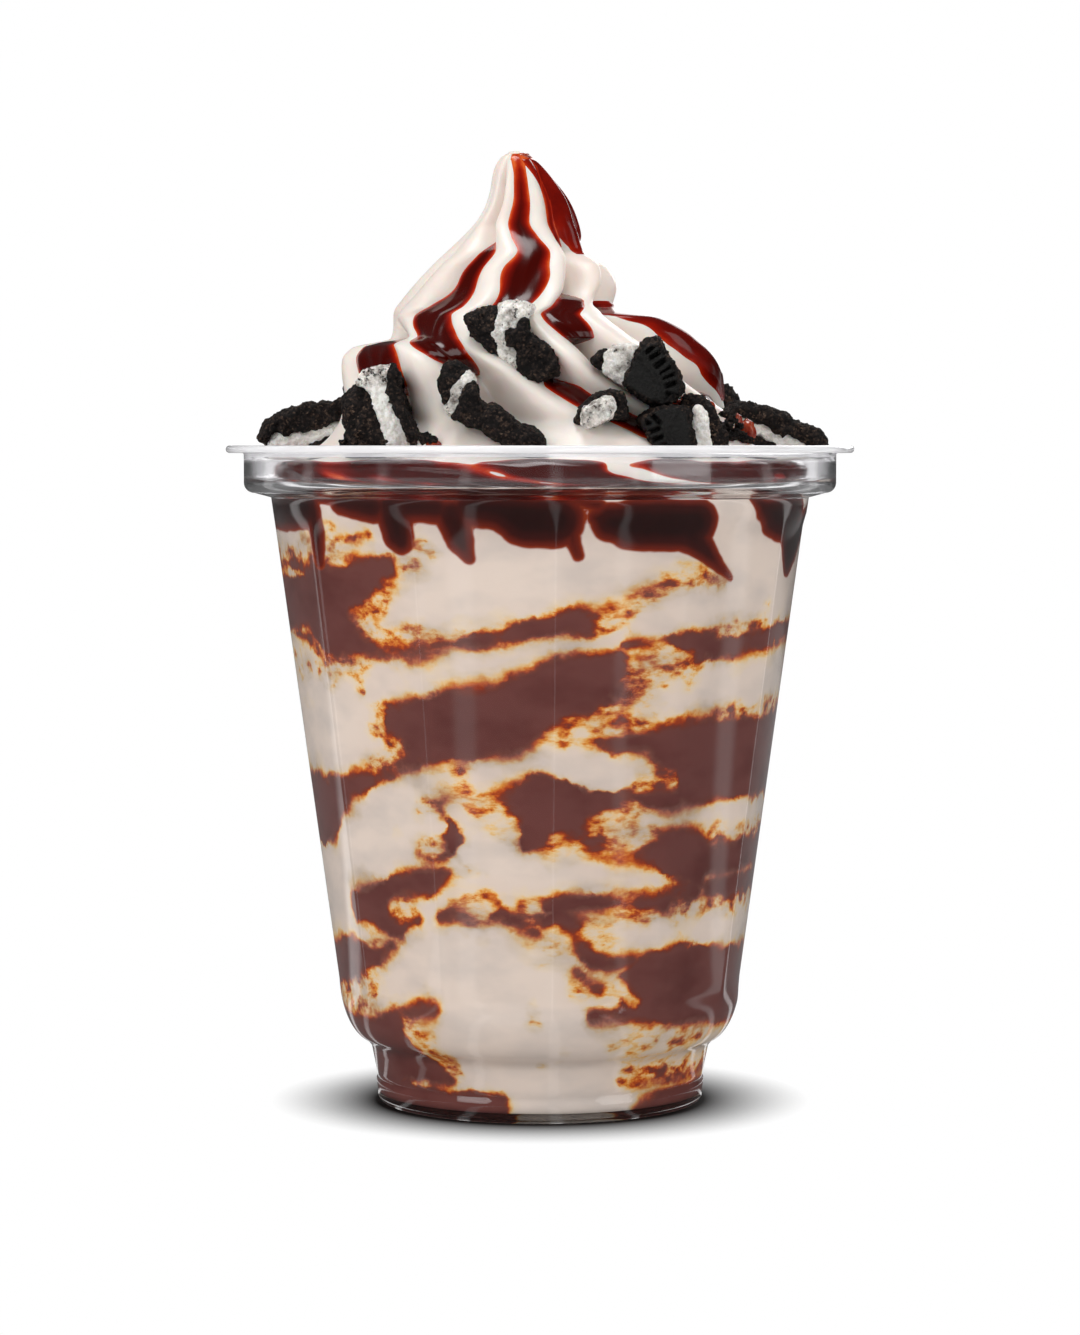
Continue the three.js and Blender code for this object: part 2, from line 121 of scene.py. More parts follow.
def smoothstep(value, low, high):
    """A smooth rise from 0 at low to 1 at high."""
    part = np.clip((value - low) / (high - low), 0, 1)
    return part * part * (3 - 2 * part)


def panel_share(azimuth, height):
    """How much of its round radius the wall keeps, as flat panels pull it in between their edges."""
    pitch = 2 * pi / PANELS
    from_middle = (np.radians(azimuth - PANEL_TURN) / pitch % 1 - 0.5) * pitch
    flat = cos(pitch / 2) / np.cos(from_middle)
    rise = smoothstep(height, PANEL_BOTTOM, PANEL_BOTTOM + PANEL_FADE)
    fade = 1 - smoothstep(height, PANEL_TOP - PANEL_FADE, PANEL_TOP)
    return 1 - (1 - flat) * PANEL_FLATNESS * rise * fade


def round_places(radius, azimuth, height):
    """Places at a radius, azimuth and height, as an array of x, y and z."""
    angle = np.radians(azimuth)
    return np.stack(np.broadcast_arrays(radius * np.sin(angle), -radius * np.cos(angle), height), axis=-1)


def ring_faces(rows, columns):
    """Quads of a grid that closes on itself round its columns. They face out where its rows run upwards."""
    row, column = np.meshgrid(np.arange(rows - 1), np.arange(columns), indexing="ij")
    here = row * columns + column
    beside = row * columns + (column + 1) % columns
    return np.stack([here, beside, beside + columns, here + columns], axis=-1).reshape(-1, 4).tolist()


def closed_turning(name, places, foot, tip, values=None):
    """A closed smooth mesh from a grid of places, rows by columns, with a point at each end."""
    rows, columns = places.shape[:2]
    points = np.vstack([places.reshape(-1, 3), foot, tip])
    last = rows * columns
    faces = ring_faces(rows, columns)
    faces += [[last, (i + 1) % columns, i] for i in range(columns)]
    top = (rows - 1) * columns
    faces += [[last + 1, top + i, top + (i + 1) % columns] for i in range(columns)]
    return smooth_piece(name, points, faces, values)


def smooth_piece(name, points, faces, values=None):
    """A smooth-shaded mesh object. values are named numbers, one for each point that they cover."""
    mesh = bpy.data.meshes.new(name)
    mesh.from_pydata((points * MM).tolist(), [], faces)
    for key, numbers in (values or {}).items():
        column = np.zeros(len(points), np.float32)
        column[:numbers.size] = numbers.ravel()
        mesh.attributes.new(key, "FLOAT", "POINT").data.foreach_set("value", column)
    mesh.shade_smooth()
    piece = bpy.data.objects.new(name, mesh)
    bpy.context.scene.collection.objects.link(piece)
    return piece


def stroke_field(stroke, azimuth, height):
    """How far inside a stroke each place lies. It runs through points of azimuth, height and half-width."""
    middle = (stroke[0][0] + stroke[-1][0]) / 2
    around = middle + (azimuth - middle + 180) % 360 - 180
    inside = np.full(azimuth.shape, -float(FAR))
    for (azimuth_0, height_0, half_0), (azimuth_1, height_1, half_1) in zip(stroke, stroke[1:] or stroke):
        across = (azimuth_1 - azimuth_0) * DEGREE
        rise = height_1 - height_0
        from_across = (around - azimuth_0) * DEGREE
        from_rise = height - height_0
        part = np.clip((from_across * across + from_rise * rise) / (across**2 + rise**2 + 1e-9), 0, 1)
        off = np.hypot(from_across - part * across, from_rise - part * rise)
        inside = np.maximum(inside, half_0 + (half_1 - half_0) * part - off)
    return inside


# The ripples as they lie in the photo, from the top down.
FUDGE_RIPPLES = [
    [(-84, 77, 5.4), (-60, 76.2, 6.2), (-50, 76.6, 6.4), (-45, 79, 4.4), (-35, 81.8, 2)],
    [(-57, 72.5, 5), (-47, 71, 2.6), (-44, 70.4, 1.7), (-30, 70.3, 1.3), (-20, 71.3, 1.1), (-8, 72.4, 1)],
    [
        (-8, 72.4, 1), (0, 73.7, 1.2), (5, 74.5, 2), (11, 74.4, 1.9), (15, 75.3, 1), (21, 77.6, 0.9),
        (28, 79.9, 0.7),
    ],
    [(28, 79.9, 0.7), (36, 80.7, 0.5), (44, 80.3, 0.3)],
    [
        (19, 71.2, 0.4), (25, 71.1, 0.8), (33, 71.2, 1.4), (42, 70.7, 2), (55, 71, 1.9), (65, 71.6, 1.6),
        (84, 72, 1.4),
    ],
    [(24, 69.3, 1), (30, 68, 1.1), (36, 67.8, 1.3), (40, 69.4, 1.3)],
    [
        (-36, 59.4, 3), (-28, 58.7, 4.7), (-18, 59.5, 5.3), (-8, 60.4, 5.1), (0, 62.6, 5.3), (7, 64.8, 5),
        (14, 65, 4.9),
    ],
    [(14, 65, 4.9), (18, 66.6, 3), (22, 66.6, 1.8)],
    [(-34, 55.9, 1.2), (-28, 55.3, 1.6), (-22, 56, 1.6)],
    [(-84, 45, 5.6), (-70, 45.8, 4.7), (-62, 47.9, 3), (-54, 49.6, 1.7), (-46, 51.2, 1.2), (-38, 53.2, 1.5)],
    [(-38, 53.2, 1.5), (-32, 54.6, 1.5)],
    [(12, 57.2, 0.6), (20, 57, 1.5), (28, 57.4, 2.2), (35, 55.6, 4)],
    [(40, 53.6, 6.4), (55, 54, 6.5), (70, 54.2, 6.7), (88, 54.2, 6.6)],
    [(-8, 47.6, 3), (0, 47.6, 4.6), (8, 46.7, 3.8), (16, 48, 1.4), (25, 48.9, 1.3), (35, 48.6, 2.4)],
    [(-3, 42.6, 1.5), (0, 43, 2.2)],
    [(9, 44.4, 2.4), (14, 42.2, 1.5), (20, 41.1, 1.4), (27, 40.2, 1.3), (32, 40.8, 2.9)],
    [(30, 41.6, 2.4), (36, 40.5, 3.5), (46, 39.2, 4), (56, 37.3, 5.1), (70, 37, 5.2), (86, 37, 5.2)],
    [(2, 33, 1.2), (8, 33.4, 1.5), (15, 33.4, 1.5), (24, 33, 1.2), (34, 33, 1.7), (46, 33.8, 2)],
    [
        (-20, 48.8, 0.3), (-24, 48.6, 0.4), (-26, 47.4, 0.6), (-24.5, 46, 0.4), (-22.5, 45, 0.6),
        (-22.3, 43, 1.1),
    ],
    [(-22.3, 43, 1.1), (-24, 41, 1.4), (-27.5, 39.5, 1.2), (-32, 40.3, 0.4)],
    [
        (-58, 31.5, 2.3), (-52, 31.7, 3.2), (-46, 32.4, 3.4), (-42, 34.7, 1.8), (-36, 35.8, 1.9),
        (-30, 36.2, 2.2),
    ],
    [(-30, 36.2, 2.2), (-26, 37.4, 1.4)],
    [(-49, 30, 2.1), (-42, 28.8, 1.9), (-38, 29.8, 1.1), (-35, 30.3, 0.5)],
    [(-84, 21, 3.4), (-70, 22.8, 3.3), (-60, 23.6, 2.4), (-52, 24.5, 1.5), (-45, 26.2, 0.9)],
    [
        (-27, 31.3, 0.7), (-23, 32.1, 0.9), (-19, 31, 1), (-15, 30.9, 0.8), (-10, 32.2, 1), (-6, 31, 1),
        (-1, 29.2, 0.8),
    ],
    [(-15, 34.3, 0.5), (-11, 33.4, 0.6)],
    [
        (-5, 33, 0.7), (-2, 31.8, 1.1), (2, 30.6, 1.2), (5, 31.6, 1.6), (10, 30, 2), (12, 27.5, 2),
        (15, 25.4, 2),
    ],
    [(15, 25.4, 2), (20, 24.4, 1.3), (26, 24.4, 1)],
    [(10, 23, 0.9), (13, 21.6, 1), (17, 20.2, 0.5)],
    [(29, 20.4, 4.4), (36, 20.4, 5.8), (48, 20, 6), (60, 19.4, 5.8), (72, 19, 5.6), (88, 18.6, 5.2)],
    [(14, 16.6, 0.5), (22, 16.8, 1.2), (30, 17, 1.8)],
    [(-84, 8, 7.5), (-65, 9.5, 5.6), (-55, 10.6, 5.2), (-47, 10.4, 5.4), (-40, 8.6, 3.5), (-33, 7.2, 2.6)],
    [(-52, 14, 1.8), (-42, 15.3, 1.5), (-36, 16.6, 1.4), (-32, 17.1, 0.9)],
    [(28, 6.3, 0.3), (35, 6.2, 0.8), (45, 6, 1), (60, 6, 1.1), (88, 6, 1.2)],
    [(-88, 2, 2.8), (-50, 2, 2.7), (-30, 2, 2.6), (-15, 1.6, 2.5)],
    [(36, 1.4, 0.7), (45, 2, 1.9), (88, 2.2, 2.2)],
    [(-60, 85.9, 0.2), (-52, 86, 0.5), (-44, 86.4, 0.4), (-40, 86.7, 0.2)],
    [(-84, 82, 0.6), (-70, 82.2, 1), (-60, 82, 1)],
]
# Ice cream that lies over those, in the same order.
CREAM_RIPPLES = [
    [(-47.5, 75.4, 0.3), (-43.5, 75.3, 0.5)],
    [(-86, 80.7, 0.7), (-72, 80.8, 0.4), (-66, 80.8, 0.2)],
    [(-86, 71.8, 0.2), (-68, 72.3, 0.5), (-62, 70.6, 0.5), (-58, 68, 0.5)],
    [(-86, 69, 0.1), (-66, 69.3, 0.3)],
    [(70, 70.5, 0.3), (88, 70.4, 0.8)],
    [(28, 66.6, 0.8), (32, 69.2, 0.5), (36, 69, 0.4)],
    [(34, 66.3, 0.5), (38, 67.2, 0.6), (42.5, 68.4, 0.5)],
    [(-86, 31, 2.2), (-70, 29, 1.2), (-62, 28, 0.8), (-55, 27.2, 0.6), (-50, 26.8, 0.4)],
    [(-43, 31.6, 0.8), (-39, 32.4, 1.2), (-34, 32.3, 1)],
    [(4, 29.6, 0.6), (6, 28.2, 1), (8, 26.6, 0.8), (10.5, 24.8, 0.3)],
    [(15.5, 22, 0.5), (20, 22, 0.9), (23.5, 20.6, 1.1), (28, 18.6, 0.5)],
    [(-86, 15.8, 0.3), (-66, 15.2, 0.5), (-56, 15.2, 0.2)],
    [(-86, 12.5, 0.4), (-74, 11, 0.3)],
    [(24, 43.2, 1.2), (17, 44, 1)],
    [(50, 36, 0.2), (62, 36.4, 0.2), (84, 36, 0.5)],
]
# Places where fudge and ice cream have mixed into amber, and how far the mix spreads.
AMBER_SMEARS = [
    [(-53, 86, 1.4), (-50, 83.6, 1)], [(-60, 84.4, 0.8), (-84, 83.6, 1)],
    [(-27, 86.2, 1.2), (-24, 84.4, 1)], [(-28, 82.3, 1.2)],
    [(-43, 73.8, 1.2), (-38, 72.2, 0.8), (-20, 72.6, 0.5)], [(-40, 76, 1), (-36, 78.4, 0.9)],
    [(-55, 67.4, 1), (-44, 67, 0.6)], [(-86, 66.3, 1.8), (-66, 66.4, 1.8), (-57, 64, 0.9)],
    [(-84, 61.4, 1), (-72, 61, 0.7)], [(-47, 65, 0.6), (-46, 63.6, 0.6)], [(-43, 61.4, 1.5), (-44, 58, 1)],
    [(-38, 55.4, 1.2), (-44, 53.4, 1)], [(-30, 47, 1.5)], [(-17, 48.4, 1.8), (-10, 46.4, 2.2)],
    [(-20, 51.4, 1.3)], [(-40, 43, 0.7)], [(-28, 41.5, 1.6)], [(-17.5, 38.5, 1.5)],
    [(-20, 34.4, 1.4), (-16, 33, 1.4)], [(-41, 31.7, 1.3), (-37, 32, 1)], [(-52, 27.3, 0.9)],
    [(-64, 17.4, 1.6), (-55, 18.6, 1.6)], [(-86, 16.8, 1.4), (-64, 17, 1)],
    [(-40, 13, 2), (-33, 9.4, 1.7), (-29, 6.4, 0.8)], [(15, 73.9, 1.3), (21, 76.3, 1), (28, 78.6, 0.8)],
    [(29, 80.6, 1), (42, 80.3, 0.9)], [(62, 76.6, 1.1)], [(46, 72.8, 0.6), (60, 74, 0.8)],
    [(16, 62.8, 1.6), (22, 65.6, 2)], [(29, 68.2, 2.6), (34, 66.2, 2.2)], [(29, 62, 1.4)],
    [(9, 58.4, 1.5), (4, 56.8, 1.1)], [(14, 59.6, 0.9), (26, 59.6, 0.8)],
    [(14.5, 44.4, 1.5), (22, 43, 1.7), (26.5, 43.4, 1.7)], [(26, 50.7, 0.7), (34, 51.3, 0.9)],
    [(3, 41.6, 0.8), (9, 42, 0.7)], [(14.5, 29.2, 1.4), (18, 27.6, 1.2)],
    [(22, 31.4, 0.9), (30, 31.2, 0.7)], [(4, 27, 1.2), (0, 24.6, 0.9)], [(11, 19.6, 1.5)], [(20, 19.1, 1)],
    [(-3, 32.6, 0.9)], [(26, 44.8, 1.2), (22, 46.8, 0.8)], [(-3, 19, 0.9), (-1, 16, 0.9)],
    [(24, 12, 2.2), (34, 10.6, 2.8), (46, 10.4, 2.3), (60, 12, 1)], [(7, 11.4, 1.1)], [(0, 9, 0.8)],
    [(30, 7.2, 0.8), (88, 7.6, 0.8)], [(50, 42.6, 0.5), (84, 42.4, 0.6)],
    [(40, 31.6, 0.6), (84, 31.6, 0.8)], [(50, 60.6, 0.4), (84, 61, 0.6)],
]
# Glossy fudge that has run down round the top, with its drips.
TOP_FUDGE = [
    [(-100, 90.4, 3.2), (-75, 90.6, 3.7), (-59, 90.9, 3.7)],
    [(-56, 90, 2.2), (-56, 84.5, 1.5), (-56, 82.6, 1.1)], [(-54, 92.4, 1.2), (-45, 92, 1.2)],
    [(-46, 91.6, 2.2), (-37, 91, 2.6)], [(-32, 91, 3), (-31.4, 87, 2.7), (-30.8, 86, 2.1)],
    [(-28, 91, 2.6), (-22, 90.8, 2.4)], [(-18.5, 90, 2.5), (-17.2, 86, 2), (-15.4, 83.6, 1)],
    [(-14, 91, 3), (-8, 90.5, 3.2), (-3, 89.2, 4.1), (3, 89, 4.1)],
    [(6.2, 88, 1.3), (7, 85.6, 1.1), (8, 84, 1)], [(4, 92.6, 0.9), (12, 91.2, 1.1)],
    [(11.5, 89.4, 1.3), (15, 88.8, 3), (20, 88.6, 4), (28, 88.5, 4.1), (34, 88.4, 4)],
    [(33, 87, 3), (38, 84.5, 1.9), (43, 82, 1.1), (47, 80.4, 0.4)],
    [(50, 92.4, 0.8), (55, 90.6, 2.2), (60, 89.4, 3.4), (64, 89.2, 4)], [(66, 91.6, 2)],
    [(70, 88.4, 5), (74, 84.4, 4.4), (80, 86, 4.4), (92, 89.6, 3.2)],
]

SEEN_TO = 80               # azimuth past which the photo does not show the ripples
BACK_RIPPLES = 17
BACK_SMEARS = 16
BACK_DRIPS = 9

# The ripples that run out of sight wander on round the back, and more lie between them.
back = np.random.default_rng(8)
for stroke in FUDGE_RIPPLES[:]:
    for azimuth, height, half in (stroke[0], stroke[-1]):
        if abs(azimuth) > SEEN_TO:
            way = 1 if azimuth > 0 else -1
            reach = 26 + 26 * back.random()
            climb = 15 * (back.random() - 0.5)
            FUDGE_RIPPLES.append([
                (azimuth, height, half),
                (azimuth + way * 0.5 * reach, height + 0.3 * climb, half * (0.7 + 0.6 * back.random())),
                (azimuth + way * reach, height + climb, half * (0.4 + 0.5 * back.random())),
                (azimuth + way * 1.4 * reach, height + 1.6 * climb, 0.3),
            ])
for number in range(BACK_RIPPLES):
    start = 112 + 75 * back.random()
    length = 30 + 60 * back.random()
    foot = 4 + 84 * (number + back.random()) / BACK_RIPPLES
    climb = 15 * (back.random() - 0.4)
    thick = 1.2 + 3.8 * back.random()
    FUDGE_RIPPLES.append([(
        start + length * part,
        foot + climb * part + 3 * (back.random() - 0.5),
        thick * (0.25 + float(np.sin(pi * part))),
    ) for part in np.linspace(0, 1, 6)])
for number in range(BACK_SMEARS):
    azimuth = 92 + 150 * back.random()
    height = 6 + 82 * (number + back.random()) / BACK_SMEARS
    AMBER_SMEARS.append([
        (azimuth, height, 0.8 + 1.6 * back.random()),
        (azimuth + 8, height + 2 * back.random(), 0.8),
    ])
    if number % 2:
        CREAM_RIPPLES.append([
            (azimuth + 11 * step, height + 4 + 3.2 * (back.random() - 0.5), 0.4 + 1.8 * back.random())
            for step in range(4)
        ])
TOP_FUDGE.append([(azimuth, 91.2, 3.2) for azimuth in range(90, 271, 20)])
for drip in range(BACK_DRIPS):
    azimuth = 98 + 19 * drip + 8 * back.random()
    foot = 81 + 5 * back.random()
    TOP_FUDGE.append([
        (azimuth, 90, 2 + back.random()),
        (azimuth, (90 + foot) / 2, 1.6),
        (azimuth + 1, foot, 1.2),
    ])

fill_height, fill_azimuth = np.meshgrid(
    np.linspace(FILL_FOOT, FILL_TOP, FILL_ROWS),
    np.linspace(-90, 270, FILL_COLUMNS, endpoint=False),
    indexing="ij",
)


def inside_any(strokes):
    """How far inside the deepest of some strokes each place of the ice cream's side lies."""
    return np.max([stroke_field(stroke, fill_azimuth, fill_height) for stroke in strokes], axis=0)


fill_radius = np.interp(fill_height, wall_corners[:, 1], wall_corners[:, 0]) - WALL_THICK + WALL_REACH
fill_radius -= FILL_CORNER * (1 - smoothstep(fill_height, FILL_FOOT - 1, FILL_FOOT + 1))
fill_places = round_places(fill_radius * panel_share(fill_azimuth, fill_height), fill_azimuth, fill_height)
ice_cream = closed_turning(
    "rippled_ice_cream", fill_places, (0, 0, FILL_FOOT), (0, 0, FILL_TOP),
    {
        "ripple": np.minimum(inside_any(FUDGE_RIPPLES), -inside_any(CREAM_RIPPLES)),
        "amber": inside_any(AMBER_SMEARS),
        "top_fudge": inside_any(TOP_FUDGE),
    },
)


def new_material(name, **constants):
    """A material with a Principled shader and these settings. Gives the material, its tree and the shader."""
    material = bpy.data.materials.new(name)
    material.use_nodes = True
    tree = material.node_tree
    shader = tree.nodes["Principled BSDF"]
    for key, value in constants.items():
        shader.inputs[key.replace("_", " ").title().replace("Ior", "IOR")].default_value = value
    return material, tree, shader


def node(tree, kind, inputs=None, **settings):
    """A shader node. inputs are numbers, colours or the sockets that feed it."""
    made = tree.nodes.new("ShaderNode" + kind)
    for key, value in settings.items():
        setattr(made, key, value)
    for key, value in (inputs or {}).items():
        if isinstance(value, bpy.types.NodeSocket):
            tree.links.new(value, made.inputs[key])
        else:
            made.inputs[key].default_value = value
    return made


def colour(code):
    """A linear colour from its #rrggbb code."""
    parts = [int(code[i:i + 2], 16) / 255 for i in (1, 3, 5)]
    return [*(part / 12.92 if part <= 0.04045 else ((part + 0.055) / 1.055) ** 2.4 for part in parts), 1]


def ramp(tree, factor, stops, interpolation="LINEAR"):
    """The colour socket of a ramp. stops are places from 0 to 1 with their colour codes."""
    made = node(tree, "ValToRGB", {"Fac": factor})
    made.color_ramp.interpolation = interpolation
    elements = made.color_ramp.elements
    while len(elements) < len(stops):
        elements.new(0.5)
    for element, (place, code) in zip(elements, stops):
        element.position = place
        element.color = colour(code)
    return made.outputs["Color"]


def math(tree, operation, first, second=0.0, third=0.0):
    """The result of a sum. Each of its terms is a number or a socket."""
    made = tree.nodes.new("ShaderNodeMath")
    made.operation = operation
    for socket, value in zip(made.inputs, (first, second, third)):
        if isinstance(value, bpy.types.NodeSocket):
            tree.links.new(value, socket)
        else:
            socket.default_value = value
    return made.outputs[0]


def grain(tree, size, detail=3.0, roughness=0.55, stretch=(1, 1, 1)):
    """Noise from 0 to 1 with features of a size in millimetres, fixed to the object."""
    place = node(tree, "TexCoord").outputs["Object"]
    place = node(tree, "Mapping", {"Vector": place, "Scale": [1 / (size * MM * part) for part in stretch]})
    texture = node(tree, "TexNoise", {
        "Vector": place.outputs[0], "Scale": 1.0, "Detail": detail, "Roughness": roughness,
    })
    return texture.outputs["Fac"]


def spread(tree, value, low, high, to_low=0.0, to_high=1.0):
    """Maps a value from one range to another, and holds it there."""
    made = node(tree, "MapRange", {
        "Value": value, "From Min": low, "From Max": high, "To Min": to_low, "To Max": to_high,
    })
    return made.outputs["Result"]


def mixed(tree, factor, first, second):
    """The colour that lies between two, the first at factor 0 and the second at 1."""
    made = tree.nodes.new("ShaderNodeMix")
    made.data_type = "RGBA"
    for socket, value in ((made.inputs[0], factor), (made.inputs[6], first), (made.inputs[7], second)):
        if isinstance(value, bpy.types.NodeSocket):
            tree.links.new(value, socket)
        else:
            socket.default_value = value
    return made.outputs[2]


ripple_look, tree, shader = new_material("rippled ice cream", specular_ior_level=0.05, roughness=0.5)
inside = node(tree, "Attribute", attribute_name="ripple").outputs["Fac"]
wander = math(tree, "SUBTRACT", grain(tree, WAVE_SIZE, 4, 0.55, (1, 1, 0.7)), 0.5)
inside = math(tree, "MULTIPLY_ADD", wander, WAVE_REACH, inside)
feather = math(tree, "SUBTRACT", grain(tree, FEATHER_SIZE, 4, 0.65), 0.5)
inside = math(tree, "MULTIPLY_ADD", feather, FEATHER_REACH, inside)
# The fringe lies outside the fudge. It is thin along most of a ripple, and spreads in some places.
fringe = spread(tree, grain(tree, FRINGE_CHANGE, 3), 0.35, 0.68, *FRINGE_BREADTH)
toned = math(tree, "DIVIDE", inside, fringe)
amber_share = node(tree, "Attribute", attribute_name="amber").outputs["Fac"]
amber_share = math(tree, "MULTIPLY_ADD", wander, 4.0, amber_share)
amber_share = spread(tree, amber_share, *AMBER_EDGE, 0.0, AMBER_STRENGTH)
speck = grain(tree, MOTTLE_SIZE, 6, 0.6, (1.9, 1, 0.8))
mottle = math(tree, "SUBTRACT", math(tree, "MULTIPLY", speck, 9.0), 5.3)
unmixed = math(tree, "MULTIPLY", toned, math(tree, "SUBTRACT", 1.0, amber_share))
toned = math(tree, "ADD", unmixed, math(tree, "MULTIPLY", mottle, amber_share))
toned = spread(tree, toned, -3, 1)
body = ramp(tree, toned, [
    (0.0, "#e1d3c7"), (0.36, "#e4d4bd"), (0.5, "#e9c88c"), (0.6, "#df983f"), (0.69, "#c65a20"),
    (0.76, "#97391c"), (0.82, "#7a3829"), (0.95, "#6e3f38"), (1.0, "#6f413c"),
])
shade = spread(tree, grain(tree, SHADE_SIZE, 3, 0.5, (1.2, 1, 0.6)), 0.42, 0.7, 0.0, 0.6)
body = mixed(tree, shade, body, mixed(tree, toned, colour("#c6bdb6"), colour("#552823")))
top_inside = node(tree, "Attribute", attribute_name="top_fudge").outputs["Fac"]
drip_wave = math(tree, "SUBTRACT", grain(tree, DRIP_WAVE_SIZE, 2), 0.5)
top_inside = math(tree, "MULTIPLY_ADD", drip_wave, DRIP_WAVE_REACH, top_inside)
top_colour = ramp(tree, spread(tree, top_inside, 0, 3), [
    (0.0, "#9a3a14"), (0.16, "#6a1c0b"), (0.5, "#3a0b05"), (1.0, "#260604"),
])
body = mixed(tree, spread(tree, top_inside, -0.15, 0.15), body, top_colour)
tree.links.new(body, shader.inputs["Base Color"])
ice_cream.data.materials.append(ripple_look)

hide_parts("ice_cream_fill")
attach(ice_cream, "root")


# ---- cup ----
# A clear cup thermoformed from one sheet: a flange and a wide collar that takes a lid, twelve flat panels
# that taper to a shoulder, and a round foot with a recess under it.

CUP_HEIGHT = 99.6
FLANGE_RADIUS = 47.5
FLANGE_THICK = 1.1
COLLAR_RADIUS = 44.8
LEDGE_RISE = 0.7           # the ledge climbs a little on its way out to the collar
LEDGE_CORNER = 1.5
LIP_CORNER = 0.5           # rounding of the flange's edge and of the collar's mouth
FOOT_RECESS = 0.8
RECESS_RADIUS = 20
FOOT_CORNER = 1
FLOOR_THICK = 1.2
GROOVE_DEPTH = 0.25
CUP_COLUMNS = 360
CUP_STEP = 1.2             # length of the longest faces, along the profile
CLEAR_LIGHT = (0.96, 0.965, 0.97, 1)    # what the plastic lets through of a lamp's light


def collar_corners(inset, height):
    """The corner from the ledge up into the collar, on a side of the sheet."""
    ledge_end = (COLLAR_RADIUS - inset - LEDGE_CORNER, height + LEDGE_RISE)
    collar_start = (COLLAR_RADIUS - inset, height + LEDGE_RISE + LEDGE_CORNER)
    return rounded_corner(ledge_end, collar_start, 1, 8)


def resampled(corners, step):
    """The same profile with points added along its straight runs."""
    rows = [corners[0]]
    for start, end in zip(corners, corners[1:]):
        count = max(1, int(np.ceil(np.hypot(*(end - start)) / step)))
        rows += [start + (end - start) * i / count for i in range(1, count + 1)]
    return np.array(rows)


flange_foot = CUP_HEIGHT - FLANGE_THICK
edge_turn = np.linspace(-pi / 2, pi / 2, 9)
flange_edge = np.stack([
    FLANGE_RADIUS - LIP_CORNER + LIP_CORNER * np.cos(edge_turn),
    CUP_HEIGHT - FLANGE_THICK / 2 + FLANGE_THICK / 2 * np.sin(edge_turn),
], axis=1)
mouth_turn = np.linspace(pi / 2, pi, 6)
mouth_radius = COLLAR_RADIUS - WALL_THICK
mouth = np.stack([
    mouth_radius + LIP_CORNER + LIP_CORNER * np.cos(mouth_turn),
    CUP_HEIGHT - LIP_CORNER + LIP_CORNER * np.sin(mouth_turn),
], axis=1)
inner_wall = wall_corners - (WALL_THICK, 0)
inner_wall[-1, 1] += WALL_THICK
cup_floor = FOOT_RECESS + FLOOR_THICK
cup_profile = resampled(np.vstack([
    [RECESS_RADIUS - 1, FOOT_RECESS],
    [RECESS_RADIUS, 0],
    [RECESS_RADIUS + 0.3, 0],
    rounded_corner((FOOT_RADIUS - FOOT_CORNER, 0), (FOOT_RADIUS, FOOT_CORNER), 1, 7),
    [FOOT_RADIUS + GROOVE_DEPTH, FOOT_GROOVE - GROOVE_DEPTH],
    wall_corners,
    collar_corners(0, WALL_TOP[1]),
    [COLLAR_RADIUS, flange_foot - 0.2],
    [COLLAR_RADIUS + 0.2, flange_foot],
    flange_edge,
    mouth,
    collar_corners(WALL_THICK, WALL_TOP[1] + WALL_THICK)[::-1],
    inner_wall[::-1],
    [FOOT_RADIUS - WALL_THICK, cup_floor + 0.4],
    [FOOT_RADIUS - WALL_THICK - 0.4, cup_floor],
]), CUP_STEP)

cup_azimuth = np.linspace(0, 360, CUP_COLUMNS, endpoint=False)[None, :]
cup_radius, cup_height = cup_profile[:, :1], cup_profile[:, 1:]
cup_places = round_places(cup_radius * panel_share(cup_azimuth, cup_height), cup_azimuth, cup_height)
cup = closed_turning("clear_cup", cup_places, (0, 0, FOOT_RECESS), (0, 0, cup_floor))

# Where the sheet is thick it is cloudy: how much light goes straight through, from each height up.
CLARITY = [(-1, 1.0), (94.0, 0.97), (94.8, 0.995), (97.4, 0.93), (98.5, 0.4)]

for _, clarity in CLARITY:
    plastic_look, tree, shader = new_material(
        f"clear plastic {1000 * clarity:.0f}",
        base_color=(0.97, 0.965, 0.98, 1), roughness=0.07, ior=1.46, transmission_weight=clarity,
    )
    # Lamps shine through the thin wall, and everything else refracts.
    output = tree.nodes["Material Output"]
    clear = node(tree, "BsdfTransparent", {"Color": CLEAR_LIGHT})
    is_shadow = node(tree, "LightPath").outputs["Is Shadow Ray"]
    blend = node(tree, "MixShader", {0: is_shadow, 1: shader.outputs[0], 2: clear.outputs[0]})
    tree.links.new(blend.outputs[0], output.inputs["Surface"])
    cup.data.materials.append(plastic_look)
for face in cup.data.polygons:
    face.material_index = sum(face.center.z / MM > height for height, _ in CLARITY) - 1

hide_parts("cup")
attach(cup, "root")


# ---- swirl ----
# Vanilla soft serve piped through a star nozzle in two coils that lean and wind as they rise to a drawn-out
# tip. Its ridges are the nozzle's teeth, and they run round to the right as they sink to the rim.

SWIRL_FOOT = 92
SWIRL_TIP = 144
RIDGES = 10
RIDGE_BREADTH = 0.55       # under 1 the ridges are broad, with narrow grooves
SOFT_GROOVE = -2           # the groove at the left of the upper coil, which has sagged shut
SAG_START = (113, 119)     # heights between which it starts to
SAG = 0.85                 # the share of its depth that it has lost
SIDE_STARTS = (0.45, 0.9)  # sine of the azimuths between which the front turns into a side
RIDGE_COLUMNS = 42
SWIRL_ROWS = 230


